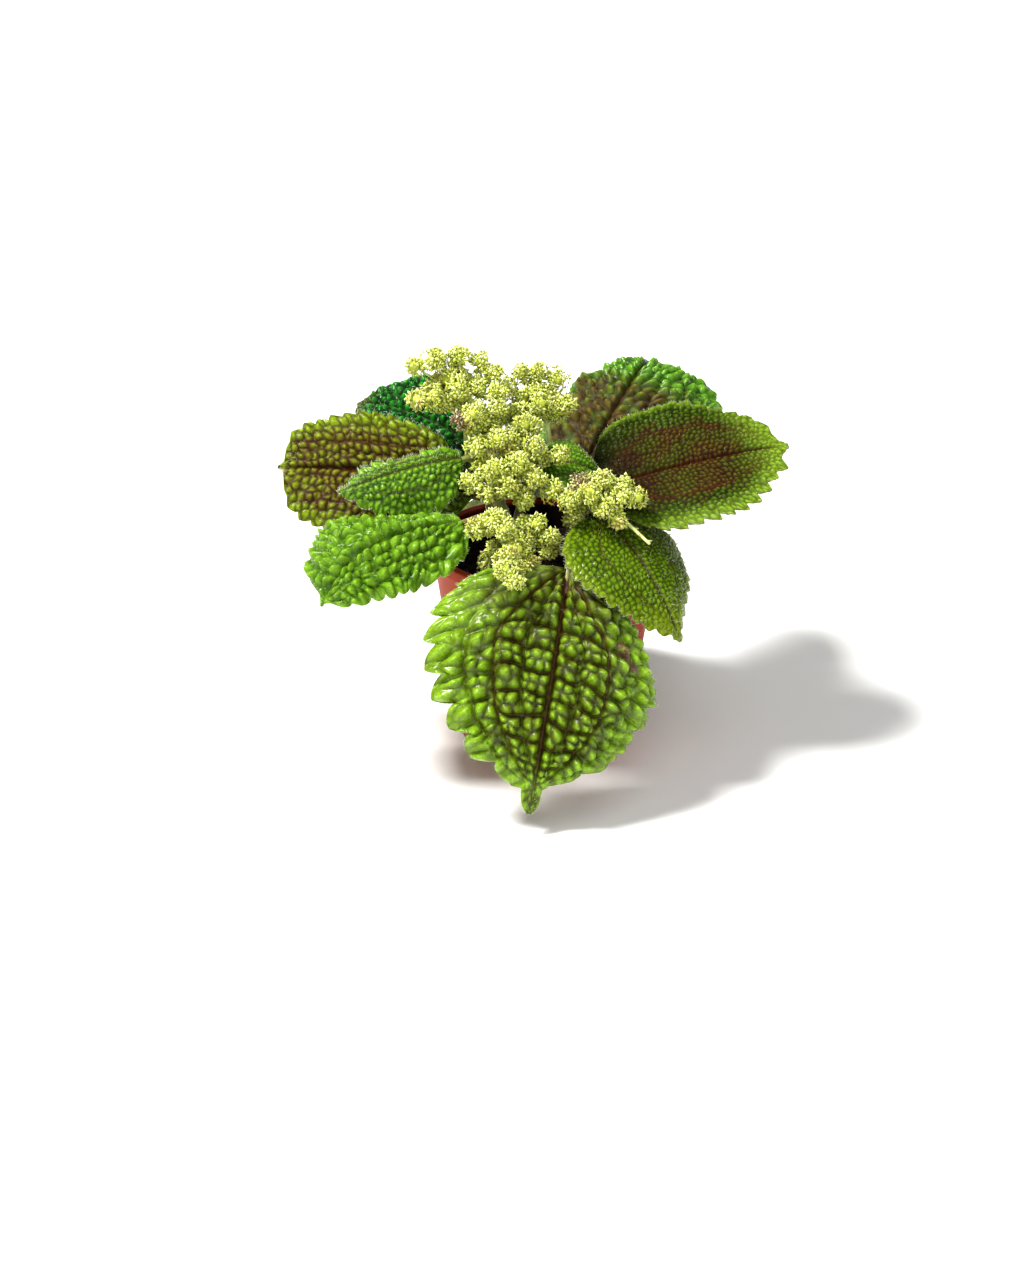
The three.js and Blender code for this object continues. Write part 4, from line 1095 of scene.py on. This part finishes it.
potLook = {"sides": 128, "ring": 0.12, "ringsAt": [14, 15.2, 30, 31.2], "innerRows": [46.6, 45.5, 44, 42, 30],
           "drainHoles": 5, "drainRadius": 2.4, "drainCircle": 13, "sharpFrom": 40}


def potMaterial():
    grain = {"coarse": 350.0, "fine": 3000.0, "share": 0.6, "strength": 0.12, "depth": 0.1}
    material, tree, shader = newMaterial("terracottaPlastic", grain, {"Specular IOR Level": 0.12})
    cloud = noise(tree, 60, 4)
    colour = mixColour(tree, ramp(tree, cloud, 0.35, 0.65), rgb(148, 57, 31), rgb(160, 65, 36))
    dust = calculate(tree, "MULTIPLY", ramp(tree, noise(tree, 700, 3), 0.6, 0.75), 0.25)
    dusty = mixColour(tree, dust, colour, rgb(120, 70, 52))
    # The inside wall goes to near black in patches, from just under the rim downward.
    darkenedInside = calculate(tree, "MULTIPLY", mask(tree, "inside"), ramp(tree, noise(tree, 450, 4), 0.1, 0.32))
    tree.links.new(mixColour(tree, darkenedInside, dusty, rgb(26, 16, 12)), shader.inputs["Base Color"])
    rough = addNode(tree, "ShaderNodeMapRange", {"Value": cloud, "To Min": 0.4, "To Max": 0.58})
    tree.links.new(rough.outputs["Result"], shader.inputs["Roughness"])
    return material


def roundCorner(corner, before, after, radius, steps=5):
    corner, before, after = (np.array(p, float) for p in (corner, before, after))
    start = corner + unit(before - corner) * radius
    end = corner + unit(after - corner) * radius
    t = np.linspace(0, 1, steps)[:, None]
    return ((1 - t) ** 2 * start + 2 * t * (1 - t) * corner + t**2 * end).tolist()


def makePot():
    high, lip = potForm["height"], potForm["lipHeight"]
    inside = potInsideRadius(high)
    low = high - lip
    floorInside = potInsideRadius(potForm["floor"])
    ring = potLook["ring"]
    corners = [
        ([potForm["baseRadius"], 0], 0.8), ([potWallRadius(low), low], 0.25),
        ([potForm["topRadius"], low + 0.5], 0.3), ([potForm["topRadius"], high], 0.4),
        ([inside, high], 0.3), ([floorInside, potForm["floor"]], 0.6),
    ]
    path = [[0, 0]] + [c for c, _ in corners] + [[0, potForm["floor"]]]
    profile = [[6, 0], [17.6, 0]]
    for k, (corner, radius) in enumerate(corners):
        if k == 1:
            for height in potLook["ringsAt"]:
                wall = potWallRadius(height)
                profile += [[wall, height - 0.5], [wall + ring, height], [wall, height + 0.5]]
        profile += roundCorner(corner, path[k], path[k + 2], radius)
        if k == 4:
            for height in potLook["innerRows"]:
                profile.append([potInsideRadius(height), height])
    profile += [[17, potForm["floor"]], [6, potForm["floor"]]]
    shape = Shape("inside")
    points, triangles = revolve(profile, potLook["sides"])
    within = np.hypot(points[:, 0], points[:, 1]) < potInsideRadius(points[:, 2]) + 0.1
    shape.add(points, triangles, inside=within * smooth(high + 0.1, high - 1.0, points[:, 2]))
    pot = shape.build("nurseryPot", [potMaterial()])
    for k in range(potLook["drainHoles"]):
        turn = 2 * math.pi * (k + 0.5) / potLook["drainHoles"]
        centre = potLook["drainCircle"] * np.array([math.cos(turn), math.sin(turn)])
        line = np.array([[*centre, -2.0], [*centre, 4.0]])
        cutter = Shape()
        cutter.add(*tube(line, np.array([[0, 0, 1.0]] * 2), [potLook["drainRadius"]] * 2, 32))
        drill = cutter.build("drill", [])
        cut = pot.modifiers.new("drain", "BOOLEAN")
        cut.object = drill
        cut.operation = "DIFFERENCE"
        applied(pot)
        bpy.data.objects.remove(drill)
    for edge in pot.data.edges:
        edge.use_edge_sharp = False
    pot.data.set_sharp_from_angle(angle=math.radians(potLook["sharpFrom"]))
    dress(pot, "pot", "pot")


def applied(piece):
    bpy.context.view_layer.update()
    ready = piece.evaluated_get(bpy.context.evaluated_depsgraph_get())
    mesh = bpy.data.meshes.new_from_object(ready)
    piece.modifiers.clear()
    piece.data = mesh


makePot()

# soil

soilLook = {"rings": 36, "sides": 120, "lump": 0.7, "seed": 5}
crumbs = {"count": 520, "size": [0.25, 0.8], "flat": 0.8}
barkBits = {"count": 46, "size": [0.6, 1.5], "flat": 0.35}


def soilMaterial(name, dark, pale, wet):
    grain = {"coarse": 1400.0, "fine": 5200.0, "share": 0.7, "strength": 0.9, "depth": 0.25}
    material, tree, shader = newMaterial(name, grain, {"Roughness": 0.92, "Specular IOR Level": wet})
    speck = ramp(tree, noise(tree, 1300, 4), 0.45, 0.72)
    tree.links.new(mixColour(tree, speck, dark, pale), shader.inputs["Base Color"])
    return material


def soilHeight(x, y):
    radius = np.hypot(x, y)
    edge = potInsideRadius(soilForm["level"]) - touchGap
    crown = soilForm["crown"] * (1 - (radius / edge) ** 2)
    lumps = 0.6 * ripple(x / 3.1, y / 3.4, 4.0) + 0.35 * ripple(x / 1.2, y / 1.1, 9.0)
    clod, pick = cobbles(x / 1.5, y / 1.5, 6.0, 0.9)
    lift = soilLook["lump"] * smooth(1, 0.8, radius / edge)
    return soilForm["level"] + crown + lift * (lumps + clod * (0.4 + pick) - 0.6)


def makeSoil():
    rng = np.random.default_rng(soilLook["seed"])
    level = soilForm["level"]
    bottom = potForm["floor"] + touchGap
    profile = [[potInsideRadius(z) - touchGap, z] for z in np.linspace(bottom, level, 12)]
    edge = profile[-1][0]
    profile += [[edge * (1 - k / soilLook["rings"]), level] for k in range(1, soilLook["rings"])]
    profile = [[edge * 0.3, bottom]] + profile
    points, triangles = revolve(profile, soilLook["sides"])
    onTop = points[:, 2] > level - 0.01
    heights = soilHeight(points[:, 0], points[:, 1])
    points[:, 2] = np.where(onTop, heights, points[:, 2])
    shape = Shape()
    shape.add(points, triangles)
    stars = np.array([[1, 0, 0], [-1, 0, 0], [0, 1, 0], [0, -1, 0], [0, 0, 1], [0, 0, -1]], float)
    faces = np.array([[0, 2, 4], [2, 1, 4], [1, 3, 4], [3, 0, 4], [2, 0, 5], [1, 2, 5], [3, 1, 5], [0, 3, 5]])
    for slot, bits in enumerate((crumbs, barkBits)):
        for _ in range(bits["count"]):
            radius = (edge - 0.9) * math.sqrt(rng.uniform())
            turn = rng.uniform(0, 2 * math.pi)
            x, y = radius * math.cos(turn), radius * math.sin(turn)
            size = rng.uniform(*bits["size"])
            basis = np.linalg.qr(unit(rng.normal(size=(3, 3))))[0]
            stretch = size * np.array([1.0, rng.uniform(0.5, 0.9), bits["flat"]])
            clod = (stars * stretch * rng.uniform(0.7, 1.2, (6, 1))) @ basis
            centre = [x, y, float(soilHeight(np.array([x]), np.array([y]))[0]) + size * 0.15]
            shape.add(clod + centre, faces if np.linalg.det(basis) > 0 else faces[:, ::-1], slot=slot)
    peat = soilMaterial("darkPeat", rgb(24, 18, 14), rgb(58, 42, 30), 0.3)
    bark = soilMaterial("barkBits", rgb(58, 36, 22), rgb(98, 66, 42), 0.3)
    dress(shape.build("pottingSoil", [peat, bark]), "soil", "soil")


makeSoil()
print("pot and soil done")

# floor, lights and camera

def makeFloor():
    half = room["floorSize"] / 2
    shape = Shape()
    cells = room["floorCells"]
    line = np.linspace(-half, half, cells + 1)
    x, y = np.meshgrid(line, line, indexing="ij")
    shape.add(np.stack([x, y, np.zeros(x.shape)], -1).reshape(-1, 3), gridTriangles(cells, cells, True))
    material = newMaterial("paleFloor", None, {"Base Color": [*room["floor"], 1], "Roughness": 0.7})[0]
    floor = shape.build("studioFloor", [material])


def aim(thing, place, target):
    thing.location = [c * mm for c in place]
    way = np.subtract(target, place)
    tilt = math.atan2(way[2], math.hypot(way[0], way[1]))
    thing.rotation_euler = [math.pi / 2 + tilt, 0, math.atan2(way[1], way[0]) - math.pi / 2]


def makeLights():
    for name, light in lights.items():
        lamp = bpy.data.lights.new(name, "AREA")
        lamp.size = light["size"] * mm
        lamp.energy = light["power"]
        lamp.color = light["colour"]
        thing = bpy.data.objects.new(name, lamp)
        bpy.context.scene.collection.objects.link(thing)
        aim(thing, light["place"], room["litPlace"])
    world = bpy.data.worlds.new("studioAir")
    world.use_nodes = True
    air = world.node_tree.nodes["Background"]
    air.inputs["Color"].default_value = [*room["air"], 1]
    air.inputs["Strength"].default_value = room["airLight"]
    bpy.context.scene.world = world


def makeCamera():
    lens = bpy.data.cameras.new("photoView")
    lens.lens = camera["lens"]
    lens.sensor_width = 36
    lens.clip_start = 0.01
    thing = bpy.data.objects.new("photoView", lens)
    bpy.context.scene.collection.objects.link(thing)
    tilt = math.radians(camera["elevation"])
    back = np.array([0, -math.cos(tilt), math.sin(tilt)]) * camera["distance"]
    aim(thing, (np.array(camera["target"]) + back).tolist(), camera["target"])
    bpy.context.scene.camera = thing


makeFloor()
makeLights()
makeCamera()
bpy.context.scene.view_settings.view_transform = "Standard"
bpy.context.scene.view_settings.look = "Medium High Contrast"
print("scene done")
